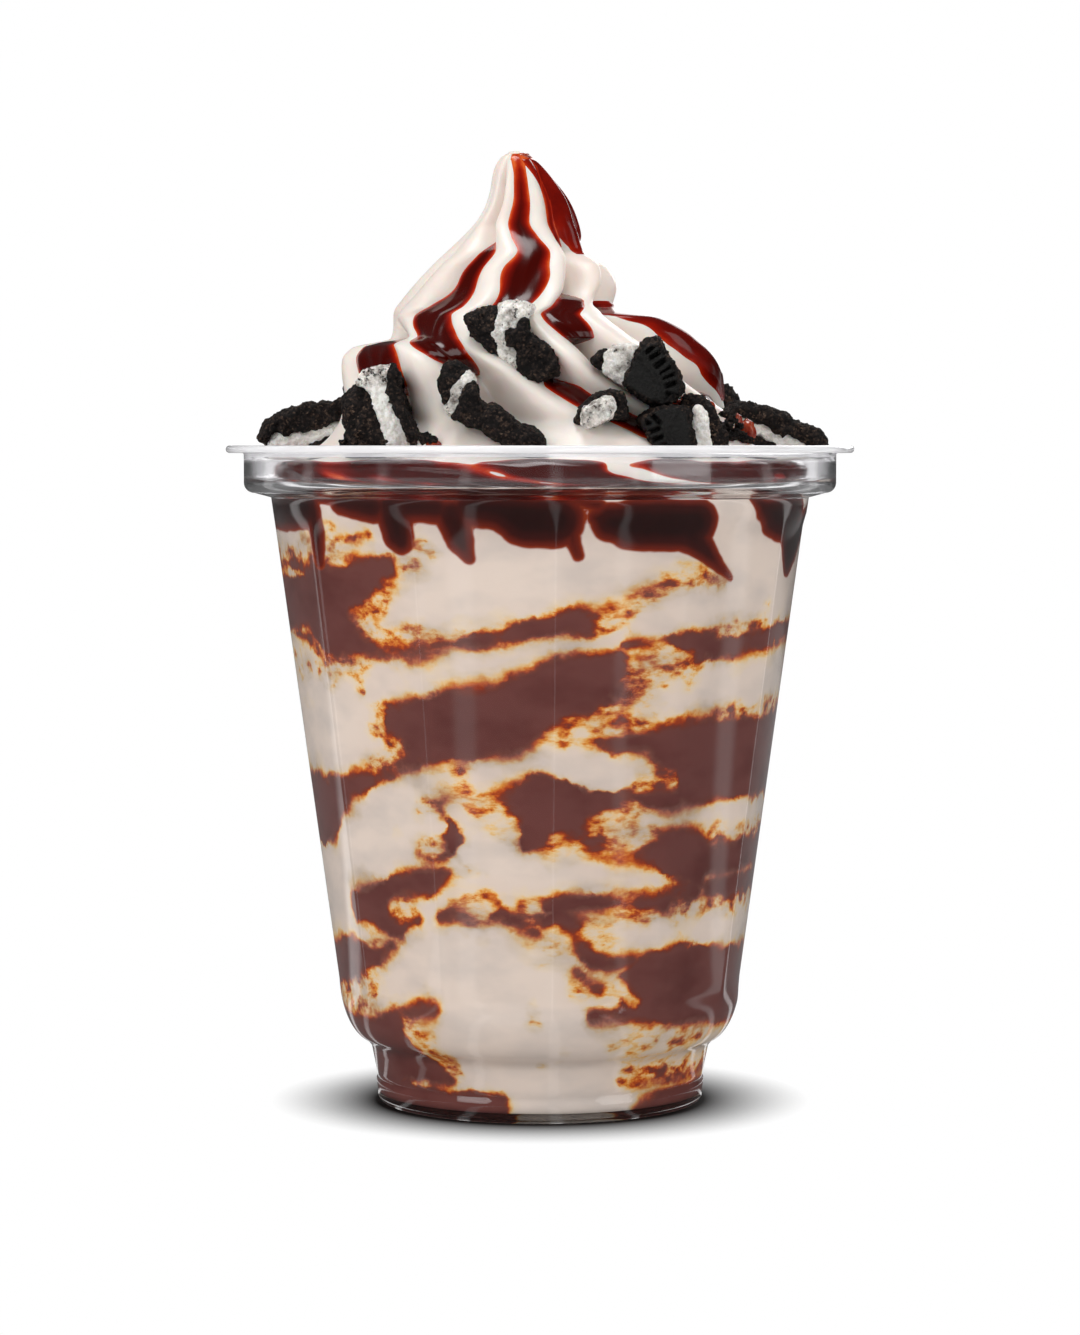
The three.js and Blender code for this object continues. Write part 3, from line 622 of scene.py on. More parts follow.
def curve(points):
    """A smooth curve through points in rising x. It has no overshoot, and is level beyond its ends."""
    x, y = np.array(points, float).T
    slope = np.diff(y) / np.diff(x)
    before, after = slope[:-1], slope[1:]
    tangent = np.zeros(len(x))
    same_way = before * after > 0
    tangent[1:-1][same_way] = (2 * before * after)[same_way] / (before + after)[same_way]

    def at(value):
        value = np.clip(value, x[0], x[-1])
        low = np.clip(np.searchsorted(x, value) - 1, 0, len(x) - 2)
        run = x[low + 1] - x[low]
        t = (value - x[low]) / run
        lift = t * t * (3 - 2 * t)
        out = t * (1 - t) ** 2 * run * tangent[low]
        back_in = t * t * (t - 1) * run * tangent[low + 1]
        return y[low] + (y[low + 1] - y[low]) * lift + out + back_in
    return at


# The outline's reach to each side, by height, and the way that the whole leans.
left_reach = curve([
    (92.5, 38.9), (93.4, 39), (94.6, 40.1), (96, 40), (98, 38.2), (100, 36), (103.5, 31.6), (107, 28.9),
    (112.5, 28), (114.3, 26.2), (115.8, 20.2), (119, 19.4), (122, 17.2), (127.5, 12.6), (131, 9.2),
    (134, 6.9), (138, 4.9), (141, 3.7), (143, 2.3), (144, 0.9),
])
right_reach = curve([
    (92.5, 38.9), (93.4, 39), (94.6, 40.2), (96, 40.1), (98, 38.9), (100, 37), (103.5, 32.4), (107, 30.2),
    (112.5, 28.2), (116, 25.4), (118.8, 21.2), (120.6, 14.4), (123.5, 15), (126.5, 13.6), (129, 9.6),
    (133, 7.9), (138, 5.8), (141, 4.1), (143, 2.3), (144, 0.9),
])
# At the front and the back the coils have sunk together, with no step.
front_reach = curve([
    (92.5, 38.9), (94.6, 40.1), (96, 40), (98, 38.5), (100, 36.5), (103.5, 32), (107, 29.5), (112.5, 27.4),
    (116, 23.6), (119, 20), (122, 16.6), (127.5, 12.6), (131, 9.4), (134, 7.4), (138, 5.4), (141, 3.9),
    (143, 2.4), (144, 0.9),
])
lean = curve([(92.5, 0), (96, 0), (106, -2), (116, -2.4), (121, -3.4), (126, -3.2), (135, -2.3), (144, -3.7)])
groove_share = curve([
    (95, 0.02), (98, 0.04), (101, 0.1), (105, 0.17), (110, 0.27), (118, 0.34), (128, 0.34), (138, 0.28),
    (144, 0.1),
])
# The azimuth of the ridge at the front, by height, and how far others stray from an even share of the turn.
front_ridge = curve([
    (92, 80), (94, 71), (96, 61), (98, 56), (100.4, 52), (106, 31), (109.7, 20), (113.4, 13), (118.7, 5.5),
    (120.3, 13), (123, 22), (125.9, 27), (128.3, 30), (130.7, 23), (133.1, 16), (137.6, 20), (142, 28),
])
STRAY = {
    -3: curve([(98, 0), (106, 14), (114, 16), (119, 0)]),
    -2: curve([
        (98, 0), (103, 8), (108.3, 17), (112.5, 20), (117, 7.5), (121.2, -1.5), (125.6, -9), (137, 0),
    ]),
    -1: curve([
        (95, -6), (99, 0), (104, 9), (109.7, 12), (114, 7), (119.7, 5), (125.9, -6), (128.6, -3), (134.6, -9),
    ]),
    0: curve([(93, -18), (97, -18), (101, 0)]),
    1: curve([(100, 0), (106, -6), (112, -11), (118, -11), (125.6, -5), (131.6, 10), (138, 12)]),
}


def ridge_azimuth(ridge, height):
    """The azimuth of a ridge's crest. Ridges past half-way round count back from the front one."""
    stray = STRAY.get(ridge if ridge <= RIDGES // 2 else ridge - RIDGES)
    return front_ridge(height) + 360 / RIDGES * ridge + (stray(height) if stray else 0)


# Rows lie closer where the outline steps in, so that the mesh is as fine there as elsewhere.
fine_height = np.linspace(SWIRL_FOOT, SWIRL_TIP - 0.1, 2000)
left_step = abs(np.gradient(left_reach(fine_height)))
right_step = abs(np.gradient(right_reach(fine_height)))
outline_length = np.cumsum(np.hypot(np.gradient(fine_height), np.maximum(left_step, right_step)))
outline_part = np.linspace(outline_length[0], outline_length[-1], SWIRL_ROWS)
row_height = np.interp(outline_part, outline_length, fine_height)[:, None]

ridge_places = np.stack([ridge_azimuth(ridge, row_height[:, 0]) for ridge in range(RIDGES)], axis=1)
ridge_places = np.hstack([ridge_places, ridge_places[:, :1] + 360])
column_ridge = np.repeat(np.arange(RIDGES), RIDGE_COLUMNS)
column_part = np.tile(np.arange(RIDGE_COLUMNS) / RIDGE_COLUMNS, RIDGES)
ridge_before = ridge_places[:, column_ridge]
ridge_after = ridge_places[:, column_ridge + 1]
swirl_azimuth = ridge_before * (1 - column_part) + ridge_after * column_part
side = np.sin(np.radians(swirl_azimuth))
stepped = (left_reach(row_height) * (1 - side) + right_reach(row_height) * (1 + side)) / 2
sideways = smoothstep(abs(side), *SIDE_STARTS)
reach = stepped * sideways + front_reach(row_height) * (1 - sideways)
crest = (np.cos(pi * column_part) ** 2) ** RIDGE_BREADTH
groove_depth = reach * groove_share(row_height)
sagged = (column_ridge == (SOFT_GROOVE - 1) % RIDGES) * smoothstep(row_height, *SAG_START)
groove_depth = groove_depth * (1 - SAG * sagged)
cream_radius = reach - groove_depth * (1 - crest)
swirl_middle = np.concatenate([lean(row_height), 0 * row_height, 0 * row_height], axis=1)[:, None, :]
swirl_places = round_places(cream_radius, swirl_azimuth, row_height) + swirl_middle
tip = (lean(SWIRL_TIP), 0, SWIRL_TIP)
swirl = closed_turning("soft_serve_swirl", swirl_places, (0, 0, SWIRL_FOOT), tip)

cream_look, tree, shader = new_material(
    "soft serve", roughness=0.38, specular_ior_level=0.4, subsurface_weight=0.35, subsurface_scale=0.004,
)
tint = ramp(tree, grain(tree, 12, 3), [(0.3, "#e2d5cb"), (0.7, "#ece3dc")])
tree.links.new(tint, shader.inputs["Base Color"])
pores = node(tree, "Bump", {"Height": grain(tree, 1.6, 3), "Strength": 0.12, "Distance": 0.0004})
tree.links.new(pores.outputs[0], shader.inputs["Normal"])
swirl.data.materials.append(cream_look)

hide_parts("swirl")
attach(swirl, "root")


# ---- fudge in the grooves ----
# Warm fudge poured over the tip: it runs down the grooves between the ridges, thick and almost black in the
# middle of a groove, and thin and orange-red at its edges. It sticks to the soft serve under it.

# Groove n runs from ridge n - 1 to ridge n. Each run gives the share of its groove's depth that it fills,
# by height.
FUDGE_RUNS = [
    (0, [
        (118, -0.4), (120, 0.82), (125, 0.88), (128, 0.88), (134, 0.76), (140, 0.8), (142, 0.95),
        (146, 1.1),
    ]),
    (0, [(99, -0.4), (101, 0.65), (108, 0.65), (111, -0.4)]),
    (-1, [
        (109, -0.4), (110.5, 0.4), (112.5, 0.78), (115, 0.93), (117, 0.92), (120, 0.78), (124, 0.55),
        (128, 0.55), (132, -0.4),
    ]),
    (-2, [(106, -0.4), (108.5, 0.82), (115, 0.85), (117, -0.4)]),
    (1, [(113.5, -0.4), (115.5, 0.7), (118, 0.9), (121, 0.88), (123.2, -0.4)]),
    (1, [(128, -0.4), (129.5, 0.35), (140, 0.4), (142, 0.9), (146, 1.1)]),
    (2, [(98, -0.4), (101, 0.5), (107, 0.6), (109.5, -0.4)]),
    (3, [(98, 0.4), (100, 0.6), (133, 0.6), (135, -0.4)]),
    (4, [(98, 0.7), (120, 0.7), (122, -0.4)]),
    (5, [(108, -0.4), (110, 0.7), (142, 0.7), (144, -0.4)]),
    (6, [(99, 0.65), (124, 0.65), (126, -0.4)]),
    (7, [(112, -0.4), (114, 0.7), (138, 0.7), (140, -0.4)]),
]
RIM_RUN = curve([(96.4, 1.15), (97.9, 0.7), (98.9, -0.4)])    # the same in every groove, below the rim
TIP_RUN = 143.6            # height at which the runs start
# Where it also lies over the ridges: height, azimuth and half-width in degrees, and how thick it is.
FUDGE_COATS = [
    [
        (106.3, 99, 3, 0.2), (108.2, 99, 11, 0.6), (110.3, 95, 16, 0.8), (112.8, 92, 19, 0.8),
        (114.6, 90, 21, 0.8), (117.8, 86, 22, 0.6), (119.4, 80, 24, 0.5), (120.6, 78, 18, 0.4),
        (121.4, 78, 3, 0.2),
    ],
    [
        (128.2, 62, 2, 0.1), (129.3, 71, 12, 0.25), (131.5, 76, 28, 0.4), (134.2, 72, 32, 0.45),
        (137.4, 72, 30, 0.4), (140, 68, 38, 0.35), (142.6, 62, 46, 0.3),
    ],
]
COAT_REST = 6              # degrees past a coat's edge at which it has sunk under the soft serve
NO_FUDGE = -1              # depth where there is none
THIN_EDGE = -0.12          # depth at which a run's edge is let go, just under the soft serve
FUDGE_DIP = 0.5            # how far its top sinks under the soft serve past its edge
FUDGE_SINK = 0.9           # how far its underside lies in the soft serve
STREAKS = 34               # streaks of soft serve and fudge round the foot of the swirl
STREAK_DEPTH = 0.7         # how much they change the share that is filled
STREAK_RISE = 0.16         # how fast they change with height
STREAK_TOP = 98            # they fade in over a fall of 2 mm from here
DARK_TOP = 99              # the same for the darker colour of the fudge in the collar
FADE_FALL = 2
DARKNESS = 4
FLOW_WAVES = 0.24          # slow waves in the fudge, to a millimetre
FLOW_DEPTH = 0.16
COAT_TONE = (0.3, 2)       # how thick a coat looks: its start, and how fast it grows with its depth

level = np.zeros(swirl_azimuth.shape)
for groove, shares in FUDGE_RUNS:
    level = np.maximum(level, (column_ridge == (groove - 1) % RIDGES) * curve(shares)(row_height))
level = np.maximum(level, RIM_RUN(row_height))

# Under the rim the fudge has smeared out in streaks that follow the ridges.
around = 2 * pi * (column_ridge + column_part) / RIDGES
streak_radius = STREAKS / 2 / pi
streak = np.array([
    [
        noise.noise((streak_radius * cos(turn), streak_radius * sin(turn), height * STREAK_RISE))
        for turn in around
    ]
    for height in row_height[:, 0]
])
streaked = smoothstep(-row_height, -STREAK_TOP, FADE_FALL - STREAK_TOP)
level += np.where(level > 0, streak * STREAK_DEPTH * streaked, 0)

flow = np.array([
    noise.noise(Vector((*place[:2], place[2] * 0.6)) * FLOW_WAVES) for place in swirl_places.reshape(-1, 3)
]).reshape(level.shape)
fudge_depth = groove_depth * (level - crest + 0.05 * flow) + FLOW_DEPTH * flow * (level > 0.05)
fudge_depth = np.where(level > 0, fudge_depth, NO_FUDGE)
coated = np.zeros(level.shape, bool)
for coat in FUDGE_COATS:
    height, azimuth, half, thick = (np.array(column) for column in zip(*coat))
    middle = np.interp(row_height, height, azimuth)
    half = np.interp(row_height, height, half, 0.001, 0.001)
    off = (swirl_azimuth - middle + 180) % 360 - 180
    lie = np.interp(row_height, height, thick) * (1 - (off / half) ** 4 + 0.5 * flow)
    over = (abs(off) < half + COAT_REST) & (lie > fudge_depth)
    fudge_depth = np.where(over, np.maximum(lie, -FUDGE_DIP), fudge_depth)
    coated |= over
fudge_depth = np.where(row_height > TIP_RUN, NO_FUDGE, fudge_depth)

# How dark it looks goes by how thick it is, and a coat looks thicker than it is; below DARK_TOP it is darker.
fudge_tone = np.where(coated, COAT_TONE[0] + COAT_TONE[1] * fudge_depth, fudge_depth)
fudge_tone = fudge_tone * (1 + DARKNESS * smoothstep(-row_height, -DARK_TOP, FADE_FALL - DARK_TOP))
top_radius = cream_radius + np.maximum(fudge_depth, -FUDGE_DIP)
fudge_top = round_places(top_radius, swirl_azimuth, row_height) + swirl_middle
fudge_foot = round_places(cream_radius - FUDGE_SINK, swirl_azimuth, row_height) + swirl_middle


def crust(name, top, foot, kept, values):
    """A closed skin over the kept quads of a grid, from its top places down to its foot places."""
    rows, columns = top.shape[:2]
    quads = np.array(ring_faces(rows, columns))[kept.ravel()]
    used, index = np.unique(quads, return_inverse=True)
    index = index.reshape(-1, 4)
    count = len(used)
    edges = {}
    for quad in index.tolist():
        for start, end in zip(quad, quad[1:] + quad[:1]):
            if (end, start) in edges:
                del edges[(end, start)]
            else:
                edges[(start, end)] = True
    faces = index.tolist() + (index[:, ::-1] + count).tolist()
    faces += [[end, start, start + count, end + count] for start, end in edges]
    points = np.vstack([top.reshape(-1, 3)[used], foot.reshape(-1, 3)[used]])
    kept_values = {key: np.tile(field.ravel()[used], 2) for key, field in values.items()}
    return smooth_piece(name, points, faces, kept_values)


near = fudge_depth > THIN_EDGE
shifted = np.roll(near, -1, axis=1)
kept = (near | shifted)[:-1] | (near | shifted)[1:]
fudge = crust("fudge_runs", fudge_top, fudge_foot, kept, {"depth": fudge_tone})

fudge_look, tree, shader = new_material("fudge", roughness=0.16, specular_ior_level=0.25)
depth = node(tree, "Attribute", attribute_name="depth").outputs["Fac"]
depth = math(tree, "MULTIPLY_ADD", math(tree, "SUBTRACT", grain(tree, 2.5, 3), 0.5), 0.7, depth)
tint = ramp(tree, spread(tree, depth, 0, 1.9), [
    (0.0, "#cc5a26"), (0.12, "#ae2c0c"), (0.3, "#881304"), (0.6, "#600802"), (1.0, "#3e0401"),
])
tree.links.new(tint, shader.inputs["Base Color"])
fudge.data.materials.append(fudge_look)

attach(fudge, "root")


# ---- cookie pieces ----
# Chocolate sandwich cookies broken by hand: two dark dry wafers with white sugar cream between them. Broken
# sides are crumbly, outer faces are pressed smooth, and the rim keeps its moulded ridges.

CRUMB_SIZE = 0.9
LAYER_SWELL = {"cream": 0.3, "wafer": 0.08}    # grows each layer, so that it touches the next
WAFER_CRAGS = 0.85         # depth of the crags on a broken side
CREAM_CRAGS = 0.4
CRUMB_DEPTH = 0.35
VOXEL = 0.25               # size of the fine mesh's quads
FACE_VOXEL = 0.18          # the same on wafers that show their moulded face
# What the layers at the front show of themselves, as x and z round each one's edge.
LAYER_OUTLINES = {
    "left_front_wafer_b": [
        (-28.3, 106.4), (-26.5, 108.1), (-24.6, 107.9), (-23.8, 106.4), (-23.1, 104.3), (-22.5, 102.4),
        (-21.9, 100.9), (-21.2, 99.2), (-28, 99.2), (-27.7, 101.7), (-28.4, 103),
    ],
    "left_front_cream": [
        (-26.3, 108.5), (-25.5, 110), (-23.4, 110.7), (-21.5, 111), (-21, 109.3), (-21.7, 108.3),
        (-21.3, 106.4), (-20.8, 104.9), (-19.5, 103), (-18.4, 99.2), (-21.9, 99.2), (-22.9, 102.6),
        (-23.6, 104.5), (-24.2, 106.8), (-25.3, 108.1),
    ],
    "left_front_wafer_a": [
        (-22, 110.2), (-21.1, 111.5), (-20.2, 109.8), (-20.5, 108.1), (-20.1, 106.6), (-19.3, 104.1),
        (-18, 101.3), (-17.7, 99.2), (-18.8, 99.2), (-19.9, 103), (-21.2, 105.1), (-21.8, 106.8),
    ],
    "middle_left_wafer_b": [
        (-14.4, 107.6), (-14.2, 109.5), (-13.6, 111.1), (-12.4, 111.9), (-11, 111.3), (-10.2, 110.2),
        (-11.3, 108.7), (-12.4, 107.9), (-12.8, 106), (-13.6, 104.9), (-14.1, 106),
    ],
    "middle_left_cream": [
        (-10.6, 110.3), (-9.7, 109.6), (-9.6, 108.3), (-10.7, 107.7), (-11.2, 106.2), (-11.7, 104.9),
        (-12.3, 103.7), (-13.7, 104.8), (-12.9, 106.2), (-12.5, 108.1), (-11.5, 109.1),
    ],
    "middle_low_wafer_a": [
        (-10.4, 108.3), (-9.5, 108.5), (-9.3, 106.4), (-7.7, 105.3), (-6, 105.1), (-4.6, 103.9),
        (-2.9, 102.4), (-1.2, 102.1), (0.4, 101.2), (1.4, 99.2), (-4.9, 99.2), (-8.3, 102), (-10.8, 103.1),
        (-12.3, 103.7), (-11.3, 105.9),
    ],
    "upper_wafer_b": [
        (-10.7, 118), (-9.1, 119), (-7.3, 119.8), (-5.7, 119.7), (-5.4, 118.6), (-6.3, 117.2),
        (-6.6, 115.6), (-5.9, 113.7), (-5.5, 111.9), (-7, 112.7), (-8.2, 113.9), (-9.6, 115.8),
    ],
    "upper_cream": [
        (-5.8, 120), (-3.9, 120.3), (-2, 120.2), (-1, 119.7), (-2, 118.2), (-3, 116.6), (-4.5, 116),
        (-4.6, 114.1), (-3.2, 113.2), (-2.8, 111.2), (-3.1, 110.3), (-4.5, 110.9), (-5.9, 111.9),
        (-6.1, 113.7), (-6.9, 115.6), (-6.5, 117.3),
    ],
    "upper_wafer_a": [
        (-2.3, 118.2), (-1.7, 116), (-0.3, 115.1), (1, 113.8), (2.3, 112.3), (2.5, 110), (1.4, 109.2),
        (-0.3, 108.5), (-2.2, 109.6), (-3.4, 110.4), (-3.2, 111.6), (-3.6, 113.2), (-4.9, 114), (-4.9, 116),
        (-3.3, 116.7),
    ],
    "right_upper_wafer_a": [
        (14.2, 113.7), (15.5, 114.5), (16.8, 114.8), (17.4, 114), (18.4, 112.4), (19.3, 111.2), (19.9, 110),
        (20.3, 108.7), (20.7, 107.7), (20.3, 106.7), (18.6, 105.5), (17.4, 105.5), (15.5, 106.1),
        (14, 106.9), (12.8, 107.8), (12, 108.4), (12.2, 109.6), (12.7, 110.8), (13.1, 111.9), (13.6, 112.8),
    ],
    "right_upper_cream": [
        (9.4, 112.7), (10.8, 113.8), (12.7, 114.2), (14.4, 113.9), (14, 112.9), (13.4, 111.9),
        (13.1, 110.9), (12.5, 109.7), (12.4, 108.2), (10.8, 109.3), (9.5, 110.3), (9.2, 111.3),
    ],
    "right_upper_wafer_b": [
        (7.9, 112.1), (9.6, 113.3), (10.1, 113), (9.7, 112), (9.8, 110.1), (8.7, 111.1),
    ],
    "right_small_wafer_b": [
        (4.9, 103.1), (5.8, 105.3), (7.3, 106.5), (8.8, 107.3), (10.3, 107.6), (11.7, 107), (12.2, 105.9),
        (12.5, 103.7), (10.7, 103.6), (9.2, 103.1), (7, 101.9), (6.1, 102.3),
    ],
    "right_small_cream": [
        (6.3, 104.5), (7.7, 105.6), (9.2, 106.4), (10.3, 106.2), (10.6, 105), (10, 103.8), (8.6, 103),
        (7.1, 102), (6.2, 102.6),
    ],
    "right_front_wafer_a": [
        (14.4, 103.1), (15.2, 104), (16.7, 105), (18.3, 105.2), (20.2, 105.1), (21.4, 104.3), (21.5, 103.1),
        (21.9, 101.7), (22, 99.1), (16, 99.1), (15.3, 100.6), (14.7, 102.2),
    ],
    "right_front_cream": [
        (22.7, 105.1), (23.8, 104.3), (24.2, 102.9), (24.3, 101.7), (24.5, 99.1), (21.7, 99.1),
        (21.9, 101.7), (21.9, 103.4),
    ],
    "right_front_wafer_b": [
        (20.1, 105.4), (20.6, 106.4), (21.8, 107), (23.2, 106.6), (24.6, 105.7), (25.4, 104.1),
        (26.2, 102.6), (27.5, 99.1), (24.3, 99.1), (24, 101.7), (23.7, 104.1), (22.8, 105), (22.1, 104.1),
        (21, 104.3),
    ],
    "left_rim_wafer_a": [
        (-42.1, 100.6), (-41.1, 102.7), (-40.1, 103.5), (-38, 104.4), (-36, 105.2), (-34.7, 105.9),
        (-33.3, 105.7), (-32.2, 106.1), (-31, 106), (-29.5, 106.3), (-29.3, 103.3), (-32.1, 102.8),
        (-33.6, 102.3), (-35.2, 101.5), (-36.4, 101.5), (-37.6, 101), (-38.5, 101), (-39, 101.5),
        (-40.1, 101.2), (-40.6, 100),
    ],
    "left_rim_cream": [
        (-40.3, 101), (-39.1, 101.7), (-38.6, 101.2), (-37.7, 101.2), (-36.5, 101.7), (-35.2, 101.7),
        (-33.6, 102.5), (-32.1, 102.9), (-29.5, 103.5), (-28.7, 103.1), (-28.6, 101.2), (-29.9, 101),
        (-31.1, 100.6), (-32.1, 100.2), (-33.4, 99.5), (-40.3, 99.5),
    ],
    "left_rim_wafer_b": [
        (-34.2, 99.6), (-32.1, 100.5), (-30.2, 101), (-28.1, 101.2), (-27.9, 99.2), (-34, 99.1),
    ],
    "right_rim_wafer_a": [
        (27, 104.7), (29, 105.8), (30, 106), (31.8, 105.7), (34.4, 104.9), (37.1, 104), (38.7, 103),
        (40.9, 101.9), (41.9, 101.1), (42.5, 99.9), (42.6, 98.9), (40.4, 99.2), (39, 100), (37.6, 100.8),
        (36.2, 101.3), (35, 101.4), (33.7, 102.2), (32.4, 102.8), (31, 103.8), (29.9, 104.2), (28.3, 103.8),
        (27.1, 104),
    ],
    "right_rim_cream": [
        (29.7, 104.1), (30.9, 104.3), (32.4, 103.6), (33.9, 102.5), (35.2, 101.7), (36.5, 101.6),
        (37.9, 101.1), (39.3, 100.3), (40.8, 99.2), (35.4, 98.9), (33.9, 100.3), (32.6, 101), (31.4, 101.6),
        (30.5, 102.6),
    ],
    "right_rim_wafer_b": [
        (31.2, 101.6), (32.6, 101.2), (34.1, 100.4), (35.8, 99.1), (31.2, 98.9),
    ],
}
# The edges with moulded ridges, on the two pieces that show a wafer's outer face.
RIM_EDGES = {
    "right_upper_wafer_a": [
        (16.8, 115), (17.6, 114), (18.6, 112.4), (19.5, 111.2), (20.1, 110), (20.5, 108.7), (20.9, 107.6),
        (20.5, 106.2),
    ],
    "right_front_wafer_a": [
        (16, 105), (14.8, 103.8), (14.3, 103), (14.5, 102.2), (15.1, 100.6), (15.8, 98.8),
    ],
}
RIM_RIDGE_PITCH = 1.3
RIM_RIDGE_DEPTH = 1.0
RIM_RIDGE_LENGTH = 2.4
RING_INSET = 1.1           # the fine ring inside the ridges
RING_RISE = 0.2
FRONT_BEVEL = 0.9
# A chunk's outline at its front, past the bevel, where it starts to taper and at its back.
CHUNK_SCALES = (0.86, 1, 1, 0.75)
TAPER_START = 0.65         # as a share of its depth


def outline_mesh(name, node_name, outline):
    """A chunk with an outline that shows from the front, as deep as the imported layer."""
    low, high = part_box(node_name)
    front, deep = low[1] / MM, (high[1] - low[1]) / MM
    edge = np.array(outline)
    following = np.roll(edge, -1, axis=0)
    if (edge[:, 0] * following[:, 1] - edge[:, 1] * following[:, 0]).sum() < 0:
        edge = edge[::-1]
    middle = edge.mean(axis=0)
    points = []
    for depth, scale in zip((0, FRONT_BEVEL, TAPER_START * deep, deep), CHUNK_SCALES):
        for x, z in middle + (edge - middle) * scale:
            points.append((x * MM, (front + depth) * MM, z * MM))
    count = len(edge)
    faces = [list(range(count)), list(range(4 * count - 1, 3 * count - 1, -1))]
    for first in range(0, 3 * count, count):
        for i in range(count):
            beside = (i + 1) % count
            faces.append([first + beside, first + i, first + i + count, first + beside + count])
    mesh = bpy.data.meshes.new(name)
    mesh.from_pydata(points, [], faces)
    return mesh


def remeshed(name, rough_mesh, voxel):
    """A fine even mesh of the same shape, with its places and normals."""
    piece = bpy.data.objects.new(name, rough_mesh)
    bpy.context.scene.collection.objects.link(piece)
    remesh = piece.modifiers.new("remesh", "REMESH")
    remesh.mode = "VOXEL"
    remesh.voxel_size = voxel * MM
    mesh = bpy.data.meshes.new_from_object(piece.evaluated_get(bpy.context.evaluated_depsgraph_get()))
    piece.modifiers.clear()
    piece.data = mesh
    mesh.materials.clear()
    places = np.empty(len(mesh.vertices) * 3)
    mesh.vertices.foreach_get("co", places)
    normals = np.empty(len(mesh.vertices) * 3)
    mesh.vertex_normals.foreach_get("vector", normals)
    return piece, places.reshape(-1, 3) / MM, normals.reshape(-1, 3)


def crags(places, crag, crumb):
    """How far out broken crags and crumbs of the given depths stand at each place."""
    return np.array([
        crag * (0.9 * noise.noise(place * 0.33) + 0.22 - abs(noise.noise(place * 0.8)))
        + crumb * (0.5 - noise.voronoi(place / CRUMB_SIZE)[0][0] + 0.4 * noise.noise(place * 2.6))
        for place in map(Vector, places)
    ])


def settle(piece, places):
    """Moves a piece's points to their places, and shades it smooth."""
    piece.data.vertices.foreach_set("co", (places * MM).ravel())
    piece.data.shade_smooth()
    piece.data.update()


def rim_relief(places, edge):
    """The moulded ridges of a wafer's rim, as height at each place."""
    nearest = np.full(len(places), 1e6)
    along = np.zeros(len(places))
    passed = 0
    for start, end in zip(np.array(edge), np.array(edge[1:])):
        run = end - start
        length = np.hypot(*run)
        part = np.clip((places[:, (0, 2)] - start) @ run / length**2, 0, 1)
        off = np.hypot(*(places[:, (0, 2)] - start - part[:, None] * run).T)
        along = np.where(off < nearest, passed + part * length, along)
        nearest = np.minimum(off, nearest)
        passed += length
    between = 1 - smoothstep(np.cos(along / RIM_RIDGE_PITCH * 2 * pi), -0.75, 0.1)
    past_ridges = smoothstep(nearest, RIM_RIDGE_LENGTH, RIM_RIDGE_LENGTH + 0.3)
    on_rim = smoothstep(nearest, 0.1, 0.4) * (1 - past_ridges)
    ring = smoothstep(-abs(nearest - RIM_RIDGE_LENGTH - RING_INSET), -0.45, -0.15)
    return -RIM_RIDGE_DEPTH * on_rim * between + RING_RISE * ring


# A group that both layers use: dry crumbs of two tones, and their height.
crumb_group = bpy.data.node_groups.new("dry crumb", "ShaderNodeTree")
crumb_group.interface.new_socket("Crumb Size", in_out="INPUT", socket_type="NodeSocketFloat")
crumb_group.interface.new_socket("Mask", in_out="OUTPUT", socket_type="NodeSocketFloat")
crumb_group.interface.new_socket("Height", in_out="OUTPUT", socket_type="NodeSocketFloat")
group_in = crumb_group.nodes.new("NodeGroupInput")
group_out = crumb_group.nodes.new("NodeGroupOutput")
crumb_place = node(crumb_group, "TexCoord").outputs["Object"]
per_metre = math(crumb_group, "DIVIDE", 1 / MM, group_in.outputs["Crumb Size"])
cells = node(crumb_group, "TexVoronoi", {"Vector": crumb_place, "Scale": per_metre, "Randomness": 1.0})
cell_tone = node(crumb_group, "SeparateColor", {"Color": cells.outputs["Color"]}).outputs[0]
fine = node(crumb_group, "TexNoise", {
    "Vector": crumb_place, "Scale": per_metre, "Detail": 5.0, "Roughness": 0.7,
}).outputs["Fac"]
half_tone = math(crumb_group, "MULTIPLY", cell_tone, 0.5)
crumb_mask = math(crumb_group, "MULTIPLY_ADD", fine, 0.6, half_tone)
crumb_height = math(crumb_group, "MULTIPLY_ADD", cells.outputs["Distance"], -0.7, fine)
crumb_group.links.new(crumb_mask, group_out.inputs["Mask"])
crumb_group.links.new(crumb_height, group_out.inputs["Height"])


def crumb_nodes(tree, size):
    """The crumb group with crumbs of a size in millimetres. Gives its mask and its height."""
    made = tree.nodes.new("ShaderNodeGroup")
    made.node_tree = crumb_group
    made.inputs["Crumb Size"].default_value = size
    return made.outputs["Mask"], made.outputs["Height"]


wafer_look, tree, shader = new_material("chocolate wafer", specular_ior_level=0.25)
mask, height = crumb_nodes(tree, 0.32)
face = node(tree, "Attribute", attribute_name="face").outputs["Fac"]
patches = math(tree, "MULTIPLY_ADD", grain(tree, 2.5, 3), 0.5, math(tree, "SUBTRACT", mask, 0.25))
crumbly = ramp(tree, patches, [
    (0.25, "#070505"), (0.5, "#110c0b"), (0.66, "#221a17"), (0.8, "#3d2f27"), (0.92, "#6a5748"),
])
pressed = ramp(tree, mask, [(0.3, "#0b0a09"), (0.7, "#151412")])
tree.links.new(mixed(tree, face, crumbly, pressed), shader.inputs["Base Color"])
tree.links.new(spread(tree, face, 0, 1, 0.8, 0.45), shader.inputs["Roughness"])
relief = node(tree, "Bump", {"Height": height, "Strength": 0.6, "Distance": 0.0003})
tree.links.new(relief.outputs[0], shader.inputs["Normal"])

